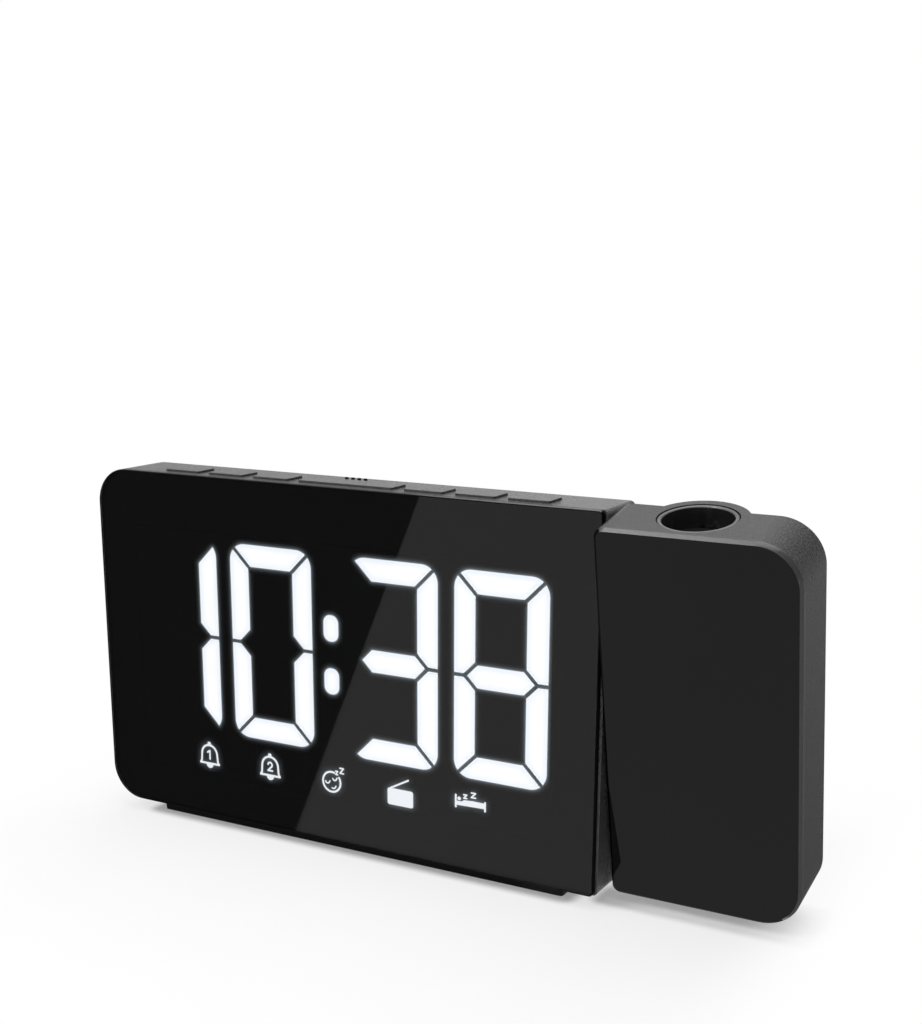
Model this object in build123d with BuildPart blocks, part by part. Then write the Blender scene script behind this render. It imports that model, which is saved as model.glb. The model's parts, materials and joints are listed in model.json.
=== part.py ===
from build123d import *
import os
from math import cos, radians, sin

# Projection alarm clock. X runs to the right, Y to the back and Z up, in millimetres.
# The origin is on the floor, below the middle of the clock body, in the plane of the arm's pivot.

os.makedirs("parts", exist_ok=True)

# ---------------------------------------------------------------- driving dimensions

# clock body
body_width = 142.1
body_height = 89.3
body_depth = 16.7
left_corner = 9.0
right_corner = 1.2
inner_corner = 0.6
wall = 2.0
rear_edge_chamfer = 0.4
end_lip = 0.6

# front panel, and the black frame bonded to its back round the display
panel_thickness = 0.8
panel_frame_thickness = 0.4
panel_chamfer = 0.2
panel_ledge_width = 2.0
panel_ledge_thickness = 1.2

# feet
foot_height = 3.6
foot_end_margin = 11.2
foot_depth = 6.0
foot_taper = 6.0
foot_corner = 1.2
foot_offset = 1.8
front_foot_y = -1.05
rear_foot_inset = 5.0
rear_foot_end_margin = 6.0

# rear cover and its electronics hump
cover_thickness = 2.0
cover_lip = 1.0
cover_gap = 0.12
hump_end_margin = 19.15
hump_depth = 18.0
hump_height = 36.0
hump_rise = 14.0
hump_corner = 3.0

# corner posts and case screws
post_inset = 5.2
post_radius = 3.4
screw_radius = 1.3
screw_hole_gap = 0.15
screw_head_radius = 2.4
screw_head_height = 1.2
screw_head_gap = 0.2
case_screw_length = 8.0
screw_recess_width = 3.8
screw_recess_slot = 0.55
screw_recess_depth = 0.6
pilot_depth = 9.0

# display
display_end_margin = 10.95
display_top_margin = 14.2
display_bottom = 10.8
display_gap = 0.1
mask_depth = 3.2
mask_rim_width = 0.8
mask_rim_height = 0.05
diffuser_depth = 1.8
digit_end_margin = 1.64
digit_top_margin = 2.04
digit_gap = 4.42
digit_corner = 4.4
stroke = 5.5
segment_gap = 0.95
colon_space = 11.08
colon_width = 4.3
colon_height = 6.6
colon_spacing = 13.33
colon_corner = 2.0
icon_size = 9.4
icon_height = 8.8
icon_end_margin = 21.38
icon_margin = 0.65
icon_digit_gap = 2.73
icon_corner = 0.8

# circuit boards
board_thickness = 1.6
board_spacing = 4.2
display_board_trim = 0.2
main_board_end_margin = 15.15
main_board_bottom = 12.0
main_board_top_margin = 17.2
standoff_radius = 2.0
standoff_inset = 4.0
board_screw_radius = 1.0
board_screw_length = 4.0
board_screw_head_radius = 1.9
board_screw_head_height = 1.1

# keys in the top
key_row_end_margin = 17.15
key_row_front_margin = 3.4
snooze_width = 26.5
key_depth = 6.8
key_row_gap = 3.15
key_count = 7
key_rise = 0.5
key_gap = 0.15
key_corner = 0.7
key_edge_round = 0.12
key_flange_lip = 0.8
key_flange_thickness = 1.0
key_flange_gap = 0.05
key_row_x = 2.75
key_stem_radius = 1.2
snooze_stem_spread = 17.0
key_travel = 0.5
switch_size = 6.0
switch_height = 3.4
switch_well_radius = 1.5
switch_well_depth = 1.1
stem_engagement = 0.4
button_board_side_gap = 0.4
button_post_radius = 1.7
button_post_end_gap = 3.0
button_board_end = 2.0
pip_radius = 0.4
pip_height = 0.45
pip_pitch = 1.8
pip_count = 4
pip_row_x = 0.7
pip_row_inset = 4.7

# loudspeaker, in the hump
speaker_end_gap = 0.65
speaker_radius = 14.0
speaker_flange_thickness = 1.2
speaker_basket_depth = 5.0
speaker_cone_thickness = 0.5
magnet_radius = 9.0
magnet_thickness = 4.0
speaker_rim_wall = 1.2
speaker_rim_height = 2.4
speaker_gap = 0.15
grille_slot_width = 1.6
grille_slot_pitch = 3.4
grille_slot_count = 7
grille_margin = 2.5

# backup cell, its contacts and its door
cell_radius = 10.0
cell_thickness = 3.2
cell_gap = 0.3
side_contact_width = 7.0
contact_thickness = 0.4
contact_radius = 6.0
door_side_margin = 4.0
door_top_margin = 2.5
door_thickness = 1.2
door_corner = 2.0
door_gap = 0.15
door_grip_width = 9.0
door_grip_depth = 0.6
cup_wall = 1.4

# sockets in the hump
jack_end_margin = 9.5
socket_spacing = 13.0
socket_row = 12.0
jack_size = 9.0
jack_length = 11.0
jack_bore_radius = 2.85
jack_bore_depth = 9.5
jack_pin_radius = 0.8
jack_opening_radius = 3.6
usb_width = 14.4
usb_height = 6.8
usb_length = 11.0
usb_metal = 0.5
usb_tongue_width = 11.2
usb_tongue_thickness = 1.8
usb_tongue_inset = 1.5
usb_opening_gap = 0.3
socket_board_margin = 1.0
socket_post_radius = 2.2
socket_post_inset = 3.0
socket_post_end_inset = 4.0
grommet_end_margin = 27.15
grommet_rise = 9.0
grommet_radius = 2.2
grommet_lip_radius = 3.2
grommet_lip = 0.7
grommet_bore_radius = 0.9
vent_slot_width = 1.6
vent_slot_height = 12.0
vent_slot_pitch = 4.4
vent_slot_count = 13
vent_top_margin = 17.2

# pivot of the projector arm
arm_gap = 0.4
pocket_side_gap = 0.4
pocket_height = 22.4
pocket_depth = 1.8
pocket_corner = 2.4
pivot_block_length = 7.0
pivot_block_margin = 2.3
pivot_block_gap = 0.1
axle_radius = 3.5
axle_bore_radius = 2.0
running_gap = 0.05
bush_wall = 1.0
bush_flange_lip = 0.65
bush_flange_thickness = 0.8
washer_width = 1.5
washer_thickness = 0.6
clip_width = 1.4
clip_thickness = 0.75
clip_groove_depth = 0.5
axle_end_length = 0.8
hub_flange_width = 2.7
hub_flange_thickness = 1.5
hub_pad_thickness = 2.0
hub_screw_radius = 0.8
hub_screw_length = 4.4
hub_screw_head_radius = 1.2
hub_screw_head_height = 0.8
hub_screw_count = 3

# projector arm, leaning forward at rest
arm_tilt = 10.9
arm_width = 44.95
arm_top_rise = 0.1
arm_bottom_drop = 0.9
arm_corner = 9.9
arm_top_left_corner = 2.4
arm_bottom_left_corner = 1.9
arm_plate_thickness = 1.2
arm_plate_chamfer = 0.7

# lens tube in the arm: its bores and tubes are built outwards from the lens barrel
lens_left_margin = 19.3
lens_front_wall = 1.0
barrel_radius = 7.5
barrel_wall = 1.2
barrel_gap = 0.3
barrel_length = 14.0
barrel_top_drop = 4.9
ring_barrel_gap = 0.15
ring_wall = 1.0
ring_gap = 0.15
ring_depth = 6.0
ring_drop = 0.1
ring_edge_round = 0.45
ring_seat_gap = 0.05
tube_wall = 2.2
tube_cone_height = 8.0
tube_cone_angle = 38.0
lens_seat_depth = 5.0
lens_seat_lip = 0.7
guide_width = 1.0
guide_height = 0.7
guide_gap = 0.15
lens_edge_gap = 0.05
lens_edge = 1.0
lens_bulge_radius = 14.0
lens_clip_height = 1.0
lens_clip_wall = 0.9
barrel_stop_gap = 2.4
lamp_tube_inset = 1.1
lamp_tube_gap = 0.1
lamp_tube_wall = 1.1
lamp_tube_length = 12.8
condenser_seat_depth = 5.0
condenser_lip = 1.0
condenser_edge = 0.8
condenser_bulge_radius = 7.5
slide_thickness = 1.1
slide_ring_wall = 1.6
slide_ring_height = 1.5
led_board_thickness = 1.2
led_radius = 2.5
led_flange_radius = 2.9
led_flange_height = 1.0
led_body_height = 3.0

# ---------------------------------------------------------------- derived places

front_y = -body_depth / 2
back_y = body_depth / 2
body_bottom = foot_height
body_top = body_bottom + body_height
body_middle = body_bottom + body_height / 2
end_x = body_width / 2
housing_end_x = end_x + end_lip
panel_back_y = front_y + panel_thickness
housing_front_y = panel_back_y + panel_frame_thickness
ledge_y = housing_front_y + panel_ledge_thickness
cover_inner_y = back_y - cover_thickness
hump_width = body_width - 2 * hump_end_margin
hump_back_y = back_y + hump_depth
hump_wall_y = hump_back_y - wall
pivot_z = body_middle

display_width = body_width - 2 * display_end_margin
display_height = body_height - display_bottom - display_top_margin
display_middle_z = body_bottom + display_bottom + display_height / 2
display_top_z = body_bottom + display_bottom + display_height
icon_z = body_bottom + display_bottom + icon_margin + icon_height / 2
icon_pitch = (display_width - 2 * icon_end_margin) / 4
digit_bottom_z = icon_z + icon_height / 2 + icon_digit_gap
digit_height = display_top_z - digit_top_margin - digit_bottom_z
digit_z = digit_bottom_z + digit_height / 2
digit_width = (display_width - colon_space - 2 * digit_gap - 2 * digit_end_margin) / 4
inner_digit_x = (colon_space + digit_width) / 2
outer_digit_x = inner_digit_x + digit_width + digit_gap

mask_back_y = panel_back_y + mask_depth
diffuser_front_y = panel_back_y + mask_rim_height
display_board_back_y = mask_back_y + board_thickness
main_board_front_y = display_board_back_y + board_spacing
main_board_back_y = main_board_front_y + board_thickness
main_board_width = body_width - 2 * main_board_end_margin
main_board_height = body_height - main_board_bottom - main_board_top_margin
main_board_z = body_bottom + main_board_bottom + main_board_height / 2

key_row_width = body_width - 2 * key_row_end_margin
key_row_y = front_y + key_row_front_margin + key_depth / 2
key_width = (key_row_width - snooze_width) / (key_count - 1) - key_row_gap
key_underside = body_top - wall - key_flange_gap
flange_bottom = key_underside - key_flange_thickness
switch_top = flange_bottom - key_travel - key_flange_gap
switch_bottom = switch_top - switch_height
button_board_bottom = switch_bottom - board_thickness
button_board_y = (ledge_y + cover_inner_y) / 2
button_board_depth = cover_inner_y - ledge_y - 2 * button_board_side_gap
button_post_spread = key_row_width + 2 * button_post_end_gap

speaker_rim_radius = speaker_radius + speaker_gap + speaker_rim_wall
speaker_x = hump_width / 2 - wall - speaker_end_gap - speaker_rim_radius
jack_x = -hump_width / 2 + jack_end_margin
usb_x = jack_x + socket_spacing
usb_opening_right = usb_x + usb_width / 2 + usb_opening_gap
cell_x = (usb_opening_right + speaker_x - speaker_rim_radius) / 2
door_width = 2 * (cell_radius + door_side_margin)
door_height = 2 * (cell_radius + door_top_margin)

post_spots = [
    (side * (end_x - post_inset), body_middle + level * (body_height / 2 - post_inset))
    for side in (-1, 1)
    for level in (-1, 1)
]
standoff_x = main_board_width / 2 - standoff_inset
standoff_rise = main_board_height / 2 - standoff_inset
standoff_spots = [
    (side * standoff_x, main_board_z + level * standoff_rise) for side in (-1, 1) for level in (-1, 1)
]
button_post_spots = [(key_row_x + side * button_post_spread / 2, key_row_y) for side in (-1, 1)]

arm_left = housing_end_x + arm_gap
arm_middle_x = arm_left + arm_width / 2
arm_top = body_height / 2 + arm_top_rise
arm_bottom = -body_height / 2 - arm_bottom_drop
arm_height = arm_top - arm_bottom
arm_middle_z = (arm_top + arm_bottom) / 2
arm_front_y = front_y
arm_rear_y = back_y
arm_shell_front_y = arm_front_y + arm_plate_thickness
arm_inner_x = arm_left + wall
bush_radius = axle_radius + running_gap + bush_wall
bush_flange_radius = bush_radius + bush_flange_lip
pocket_width = 2 * (bush_flange_radius + pocket_side_gap)
pocket_floor_x = housing_end_x - pocket_depth
pivot_block_height = pocket_height + 2 * pivot_block_margin
block_inner_x = housing_end_x - pivot_block_length
bush_face_x = pocket_floor_x + bush_flange_thickness
boss_end_x = bush_face_x + running_gap
washer_radius = axle_radius + washer_width
washer_inner_x = block_inner_x - washer_thickness
clip_radius = axle_radius + clip_width
clip_outer_x = washer_inner_x - running_gap
clip_inner_x = clip_outer_x - clip_thickness
clip_groove_radius = axle_radius - clip_groove_depth
axle_end_x = clip_inner_x - axle_end_length
hub_flange_radius = axle_radius + hub_flange_width
hub_screw_circle = axle_radius + hub_flange_width / 2
hub_seat_x = arm_inner_x + hub_pad_thickness
hub_face_x = hub_seat_x + hub_flange_thickness

barrel_bore_radius = barrel_radius + barrel_gap
ring_radius = barrel_radius + ring_barrel_gap + ring_wall
ring_bore_radius = ring_radius + ring_gap
tube_radius = ring_bore_radius + tube_wall
lamp_tube_radius = barrel_radius - lamp_tube_inset
lamp_bore_radius = lamp_tube_radius + lamp_tube_gap
lens_x = arm_left + lens_left_margin
lens_y = arm_shell_front_y + lens_front_wall + ring_bore_radius
ring_seat = arm_top - ring_depth
barrel_top = arm_top - barrel_top_drop
barrel_bottom = barrel_top - barrel_length
lens_seat = barrel_top - lens_seat_depth
lamp_bore_top = barrel_bottom - barrel_stop_gap
lamp_tube_top = lamp_bore_top - slide_ring_height - slide_thickness
condenser_seat = lamp_tube_top - condenser_seat_depth
led_board_top = lamp_tube_top - lamp_tube_length
tube_bottom = led_board_top - led_board_thickness

# ---------------------------------------------------------------- planes


def facing_front(y):
    """Upright sketch plane at depth y, extruding towards the front."""
    return Plane.XZ.offset(-y)


def level_at(z):
    """Level sketch plane at height z, extruding upwards."""
    return Plane.XY.offset(z)


def facing_right(x):
    """Upright sketch plane across the clock at x, extruding to the right."""
    return Plane.YZ.offset(x)


arm_up = Vector(0, -sin(radians(arm_tilt)), cos(radians(arm_tilt)))
arm_back = Vector(0, cos(radians(arm_tilt)), sin(radians(arm_tilt)))
pivot = Vector(0, 0, pivot_z)


def arm_facing_front(y):
    """The arm's own upright plane at depth y from the pivot, extruding towards its front plate."""
    return Plane(origin=pivot + arm_back * y, x_dir=(1, 0, 0), z_dir=-arm_back)


def arm_level(z):
    """Plane across the arm at height z above the pivot, extruding towards the lens end."""
    return Plane(origin=pivot + arm_up * z, x_dir=(1, 0, 0), z_dir=arm_up)


# ---------------------------------------------------------------- shared shapes


def body_outline(inset, lip=end_lip):
    """Rounded outline of the clock body, longer by the lip at the arm's end, drawn into the open sketch."""
    with Locations((lip / 2, body_middle)):
        Rectangle(body_width + lip - 2 * inset, body_height - 2 * inset)
    fillet(vertices().sort_by(Axis.X)[:2], left_corner - inset)
    fillet(vertices().sort_by(Axis.X)[-2:], max(right_corner - inset, inner_corner))


def arm_outline(inset):
    """Rounded outline of the projector arm, drawn into the open sketch."""
    with Locations((arm_middle_x, arm_middle_z)):
        Rectangle(arm_width - 2 * inset, arm_height - 2 * inset)
    fillet(vertices().sort_by(Axis.X)[-2:], arm_corner - inset)
    left_corners = vertices().sort_by(Axis.X)[:2].sort_by(Axis.Y)
    fillet(left_corners[1], max(arm_top_left_corner - inset, inner_corner))
    lower_left = vertices().sort_by(Axis.X)[:3].sort_by(Axis.Y)[0]
    fillet(lower_left, max(arm_bottom_left_corner - inset, inner_corner))


def hump_profile(profile_front_y):
    """Side profile of the hump, from a given front line to its back wall, in the open sketch."""
    slope = hump_rise / hump_depth
    front_top = body_bottom + hump_height + (hump_back_y - profile_front_y) * slope
    Polygon(
        (profile_front_y, body_bottom),
        (hump_back_y, body_bottom),
        (hump_back_y, body_bottom + hump_height),
        (profile_front_y, front_top),
        align=None,
    )


def finish_piece(builder, name):
    """Label a finished piece and write it to its STEP file."""
    builder.part.label = name
    export_step(builder.part, f"parts/{name}.step")


# ---------------------------------------------------------------- front panel

with BuildPart() as front_panel:
    with BuildSketch(facing_front(panel_back_y)):
        body_outline(0, 0)
    extrude(amount=panel_thickness)
    chamfer(front_panel.faces().sort_by(Axis.Y)[0].edges(), panel_chamfer)
finish_piece(front_panel, "front_panel")

with BuildPart() as panel_frame:
    with BuildSketch(facing_front(housing_front_y)):
        body_outline(0, 0)
        with Locations((0, display_middle_z)):
            window_height = display_height + 2 * display_gap
            Rectangle(display_width + 2 * display_gap, window_height, mode=Mode.SUBTRACT)
    extrude(amount=panel_frame_thickness)
finish_piece(panel_frame, "panel_frame")

# ---------------------------------------------------------------- main housing

key_pitch = key_width + key_row_gap
first_key_offset = snooze_width / 2 + key_row_gap + key_width / 2
side_key_steps = [first_key_offset + place * key_pitch for place in range(key_count // 2)]
key_row = [(key_row_x - step, key_width) for step in reversed(side_key_steps)]
key_row += [(key_row_x, snooze_width)]
key_row += [(key_row_x + step, key_width) for step in side_key_steps]

with BuildPart() as main_housing:
    with BuildSketch(facing_front(back_y)):
        body_outline(0)
    extrude(amount=back_y - housing_front_y)
    chamfer(main_housing.faces().sort_by(Axis.Y)[-1].edges(), rear_edge_chamfer)
    # rebate for the rear cover, main cavity, and the opening in the ledge behind the panel
    with BuildSketch(facing_front(back_y)):
        body_outline(cover_lip)
    extrude(amount=cover_thickness, mode=Mode.SUBTRACT)
    with BuildSketch(facing_front(cover_inner_y)):
        body_outline(wall)
    extrude(amount=cover_inner_y - ledge_y, mode=Mode.SUBTRACT)
    with BuildSketch(facing_front(ledge_y)):
        body_outline(wall + panel_ledge_width)
    extrude(amount=panel_ledge_thickness, mode=Mode.SUBTRACT)
    # corner posts for the case screws
    with BuildSketch(facing_front(cover_inner_y)):
        with Locations(*post_spots):
            Circle(post_radius)
    extrude(amount=cover_inner_y - ledge_y)
    with BuildSketch(facing_front(cover_inner_y)):
        with Locations(*post_spots):
            Circle(screw_radius)
    extrude(amount=pilot_depth, mode=Mode.SUBTRACT)
    # block that carries the arm's bush, with the pocket and bore in the end face
    block_rear_y = cover_inner_y - pivot_block_gap
    with BuildSketch(facing_right(housing_end_x)):
        with Locations(((ledge_y + block_rear_y) / 2, pivot_z)):
            Rectangle(block_rear_y - ledge_y, pivot_block_height)
    extrude(amount=-pivot_block_length)
    with BuildSketch(facing_right(housing_end_x)):
        with Locations((0, pivot_z)):
            RectangleRounded(pocket_width, pocket_height, pocket_corner)
    extrude(amount=-pocket_depth, mode=Mode.SUBTRACT)
    with BuildSketch(facing_right(housing_end_x)):
        with Locations((0, pivot_z)):
            Circle(bush_radius)
    extrude(amount=-pivot_block_length, mode=Mode.SUBTRACT)
    # posts that hold the button board under the top wall
    with BuildSketch(level_at(switch_bottom)):
        with Locations(*button_post_spots):
            Circle(button_post_radius)
    extrude(amount=body_top - wall - switch_bottom)
    with BuildSketch(level_at(switch_bottom)):
        with Locations(*button_post_spots):
            Circle(board_screw_radius)
    extrude(amount=board_screw_length, mode=Mode.SUBTRACT)
    # key openings, and raised pips behind the longest key
    with BuildSketch(level_at(body_top)):
        for key_x, width in key_row:
            with Locations((key_x, key_row_y)):
                RectangleRounded(width + 2 * key_gap, key_depth + 2 * key_gap, key_corner)
    extrude(amount=-wall, mode=Mode.SUBTRACT)
    with BuildSketch(level_at(body_top)):
        with Locations((pip_row_x, back_y - pip_row_inset)):
            with GridLocations(pip_pitch, pip_pitch, pip_count, 1):
                Circle(pip_radius)
    extrude(amount=pip_height)
finish_piece(main_housing, "main_housing")

# ---------------------------------------------------------------- rear cover

socket_z = body_bottom + socket_row
speaker_z = body_bottom + hump_height / 2
cell_z = body_bottom + hump_height / 2
cup_depth = door_thickness + cell_thickness + contact_thickness + running_gap
cup_floor_y = hump_back_y - cup_depth
grommet_x = end_x - grommet_end_margin
grommet_spot = (grommet_x, body_bottom + hump_height + hump_rise + grommet_rise)
socket_board_top = socket_z - jack_size / 2
socket_board_bottom = socket_board_top - board_thickness
usb_z = socket_board_top + usb_height / 2
socket_board_left = jack_x - jack_size / 2 - socket_board_margin
socket_board_right = usb_x + usb_width / 2 + socket_board_margin
socket_board_front_y = back_y - socket_board_margin
socket_post_y = socket_board_front_y + socket_post_inset
socket_post_spots = [
    (socket_board_left + socket_post_end_inset, socket_post_y),
    (socket_board_right - socket_post_end_inset, socket_post_y),
]

with BuildPart() as rear_cover:
    with BuildSketch(facing_front(back_y)):
        body_outline(cover_lip + cover_gap)
    extrude(amount=cover_thickness)
    with BuildSketch(facing_right(-hump_width / 2)):
        hump_profile(back_y)
    extrude(amount=hump_width)
    hump_edges = rear_cover.edges().filter_by(
        lambda edge: edge.center().Y > back_y + hump_corner / 2 and edge.center().Z > body_bottom
    )
    fillet(hump_edges, hump_corner)
    with BuildSketch(facing_right(-hump_width / 2 + wall)):
        hump_profile(cover_inner_y - wall)
        offset(amount=-wall, kind=Kind.INTERSECTION)
    extrude(amount=hump_width - 2 * wall, mode=Mode.SUBTRACT)
    # cup for the backup cell and rim for the loudspeaker, on the inside of the back wall
    with BuildSketch(facing_front(hump_wall_y)):
        with Locations((cell_x, cell_z)):
            Circle(cell_radius + cell_gap + cup_wall)
    extrude(amount=hump_wall_y - cup_floor_y + cup_wall)
    with BuildSketch(facing_front(hump_wall_y)):
        with Locations((speaker_x, speaker_z)):
            Circle(speaker_rim_radius)
            Circle(speaker_radius + speaker_gap, mode=Mode.SUBTRACT)
    extrude(amount=speaker_rim_height)
    with BuildSketch(facing_front(hump_back_y)):
        with Locations((cell_x, cell_z)):
            Circle(cell_radius + cell_gap)
    extrude(amount=cup_depth, mode=Mode.SUBTRACT)
    with BuildSketch(facing_front(hump_back_y)):
        with Locations((cell_x, cell_z)):
            RectangleRounded(door_width + 2 * door_gap, door_height + 2 * door_gap, door_corner)
    extrude(amount=door_thickness, mode=Mode.SUBTRACT)
    # loudspeaker grille: level slots whose ends follow a circle
    with BuildSketch(facing_front(hump_back_y)):
        with Locations((speaker_x, speaker_z)):
            Circle(speaker_radius - grille_margin)
        with Locations((speaker_x, speaker_z)):
            with GridLocations(1, grille_slot_pitch, 1, grille_slot_count):
                Rectangle(2 * speaker_radius, grille_slot_width, mode=Mode.INTERSECT)
    extrude(amount=wall, mode=Mode.SUBTRACT)
    # openings for the two sockets and the grommet
    with BuildSketch(facing_front(hump_back_y)):
        with Locations((jack_x, socket_z)):
            Circle(jack_opening_radius)
        with Locations((usb_x, usb_z)):
            Rectangle(usb_width + 2 * usb_opening_gap, usb_height + 2 * usb_opening_gap)
    extrude(amount=wall, mode=Mode.SUBTRACT)
    with BuildSketch(facing_front(back_y)):
        with Locations(grommet_spot):
            Circle(grommet_radius)
        with Locations((0, body_top - vent_top_margin)):
            with GridLocations(vent_slot_pitch, 1, vent_slot_count, 1):
                SlotOverall(vent_slot_height, vent_slot_width, rotation=90)
    extrude(amount=cover_thickness, mode=Mode.SUBTRACT)
    # posts under the socket board
    with BuildSketch(level_at(body_bottom + wall)):
        with Locations(*socket_post_spots):
            Circle(socket_post_radius)
    extrude(amount=socket_board_bottom - body_bottom - wall)
    with BuildSketch(level_at(body_bottom + wall)):
        with Locations(*socket_post_spots):
            Circle(board_screw_radius)
    extrude(amount=socket_board_bottom - body_bottom - wall, mode=Mode.SUBTRACT)
    # case screw holes
    with BuildSketch(facing_front(back_y)):
        with Locations(*post_spots):
            Circle(screw_radius + screw_hole_gap)
    extrude(amount=cover_thickness, mode=Mode.SUBTRACT)
    with BuildSketch(facing_front(back_y)):
        with Locations(*post_spots):
            Circle(screw_head_radius + screw_head_gap)
    extrude(amount=screw_head_height, mode=Mode.SUBTRACT)
finish_piece(rear_cover, "rear_cover")

# ---------------------------------------------------------------- case screws

with BuildPart() as case_screws:
    head_seat_y = back_y - screw_head_height
    with BuildSketch(facing_front(back_y)):
        with Locations(*post_spots):
            Circle(screw_head_radius)
    extrude(amount=screw_head_height)
    with BuildSketch(facing_front(head_seat_y)):
        with Locations(*post_spots):
            Circle(screw_radius)
    extrude(amount=case_screw_length)
    with BuildSketch(facing_front(back_y)):
        with Locations(*post_spots):
            Rectangle(screw_recess_width, screw_recess_slot)
            Rectangle(screw_recess_slot, screw_recess_width)
    extrude(amount=screw_recess_depth, mode=Mode.SUBTRACT)
finish_piece(case_screws, "case_screws")

# ---------------------------------------------------------------- feet

rear_foot_y = hump_back_y - rear_foot_inset - foot_depth / 2
foot_strips = (
    ("front_foot", body_width - 2 * foot_end_margin, foot_offset, front_foot_y),
    ("rear_foot", hump_width - 2 * rear_foot_end_margin, 0, rear_foot_y),
)
for foot_name, strip_length, strip_x, strip_y in foot_strips:
    with BuildPart() as foot_strip:
        with BuildSketch(level_at(body_bottom)):
            with Locations((strip_x, strip_y)):
                RectangleRounded(strip_length, foot_depth, foot_corner)
        extrude(amount=-foot_height, taper=foot_taper)
    finish_piece(foot_strip, foot_name)

# ---------------------------------------------------------------- display

# drawn half a gap too large all round, since the gap is then taken off every side
half_digit = (digit_width + segment_gap) / 2
half_digit_height = (digit_height + segment_gap) / 2
band = stroke + segment_gap
upper_segment = [
    (half_digit, half_digit_height),
    (half_digit - band, half_digit_height - band),
    (half_digit - band, band / 2),
    (half_digit - band / 2, 0),
    (half_digit, 0),
]
top_segment = [
    (-half_digit, half_digit_height),
    (half_digit, half_digit_height),
    (half_digit - band, half_digit_height - band),
    (-half_digit + band, half_digit_height - band),
]
middle_segment = [
    (-half_digit + band, band / 2),
    (half_digit - band, band / 2),
    (half_digit - band / 2, 0),
    (half_digit - band, -band / 2),
    (-half_digit + band, -band / 2),
    (-half_digit + band / 2, 0),
]


def flipped(points, x_sign, z_sign):
    """The same corners mirrored left to right, top to bottom, or both."""
    return [(x_sign * x, z_sign * z) for x, z in points]


segment_corners = {
    "a": top_segment,
    "b": upper_segment,
    "c": flipped(upper_segment, 1, -1),
    "d": flipped(top_segment, 1, -1),
    "e": flipped(upper_segment, -1, -1),
    "f": flipped(upper_segment, -1, 1),
    "g": middle_segment,
}


def segment_face(letter):
    """Face of one display segment, with its mitred ends and rounded outer corners."""
    with BuildSketch() as segment:
        Polygon(*segment_corners[letter], align=None)
        offset(amount=-segment_gap / 2, kind=Kind.INTERSECTION)
        RectangleRounded(digit_width, digit_height, digit_corner, mode=Mode.INTERSECT)
    return segment.sketch


segment_faces = {letter: segment_face(letter) for letter in segment_corners}

# which segments of each digit are lit, showing 10:38
digit_centres = (-outer_digit_x, -inner_digit_x, inner_digit_x, outer_digit_x)
lit_letters = ("bc", "abcdef", "abcdg", "abcdefg")
colon_spots = [(0, digit_z + level * colon_spacing / 2) for level in (-1, 1)]
icon_spots = [(place * icon_pitch, icon_z) for place in range(-2, 3)]


def draw_segments(lit):
    """Draw the segments that are lit, or those that are dark, into the open sketch."""
    for digit_x, letters in zip(digit_centres, lit_letters):
        chosen = [letter for letter in segment_faces if (letter in letters) == lit]
        with Locations((digit_x, digit_z)):
            for letter in chosen:
                add(segment_faces[letter])


with BuildPart() as display_mask:
    with BuildSketch(facing_front(mask_back_y)):
        with Locations((0, display_middle_z)):
            Rectangle(display_width, display_height)
    extrude(amount=mask_depth)
    with BuildSketch(facing_front(mask_back_y)):
        draw_segments(True)
        draw_segments(False)
        with Locations(*colon_spots):
            RectangleRounded(colon_width, colon_height, colon_corner)
        with Locations(*icon_spots):
            RectangleRounded(icon_size, icon_height, icon_corner)
    extrude(amount=mask_depth, mode=Mode.SUBTRACT)
    # a thin rim keeps the face of the mask just clear of the panel
    with BuildSketch(facing_front(diffuser_front_y)):
        with Locations((0, display_middle_z)):
            Rectangle(display_width - 2 * mask_rim_width, display_height - 2 * mask_rim_width)
    extrude(amount=mask_rim_height, mode=Mode.SUBTRACT)
finish_piece(display_mask, "display_mask")

diffuser_back_y = diffuser_front_y + diffuser_depth

for segments_name, lit in (("lit_segments", True), ("dark_segments", False)):
    with BuildPart() as segments:
        with BuildSketch(facing_front(diffuser_back_y)):
            draw_segments(lit)
        extrude(amount=diffuser_depth)
    finish_piece(segments, segments_name)

with BuildPart() as colon_dots:
    with BuildSketch(facing_front(diffuser_back_y)):
        with Locations(*colon_spots):
            RectangleRounded(colon_width, colon_height, colon_corner)
    extrude(amount=diffuser_depth)
finish_piece(colon_dots, "colon_dots")

with BuildPart() as indicator_windows:
    with BuildSketch(facing_front(diffuser_back_y)):
        with Locations(*icon_spots):
            RectangleRounded(icon_size, icon_height, icon_corner)
    extrude(amount=diffuser_depth)
finish_piece(indicator_windows, "indicator_windows")

with BuildPart() as display_board:
    with BuildSketch(facing_front(display_board_back_y)):
        with Locations((0, display_middle_z)):
            Rectangle(display_width - 2 * display_board_trim, display_height)
    extrude(amount=board_thickness)
finish_piece(display_board, "display_board")

# ---------------------------------------------------------------- main board

with BuildPart() as board_standoffs:
    with BuildSketch(facing_front(main_board_front_y)):
        with Locations(*standoff_spots):
            RegularPolygon(standoff_radius, 6)
            Circle(board_screw_radius, mode=Mode.SUBTRACT)
    extrude(amount=board_spacing)
finish_piece(board_standoffs, "board_standoffs")

with BuildPart() as main_board:
    with BuildSketch(facing_front(main_board_back_y)):
        with Locations((0, main_board_z)):
            Rectangle(main_board_width, main_board_height)
        with Locations(*standoff_spots):
            Circle(board_screw_radius, mode=Mode.SUBTRACT)
    extrude(amount=board_thickness)
finish_piece(main_board, "main_board")

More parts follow.
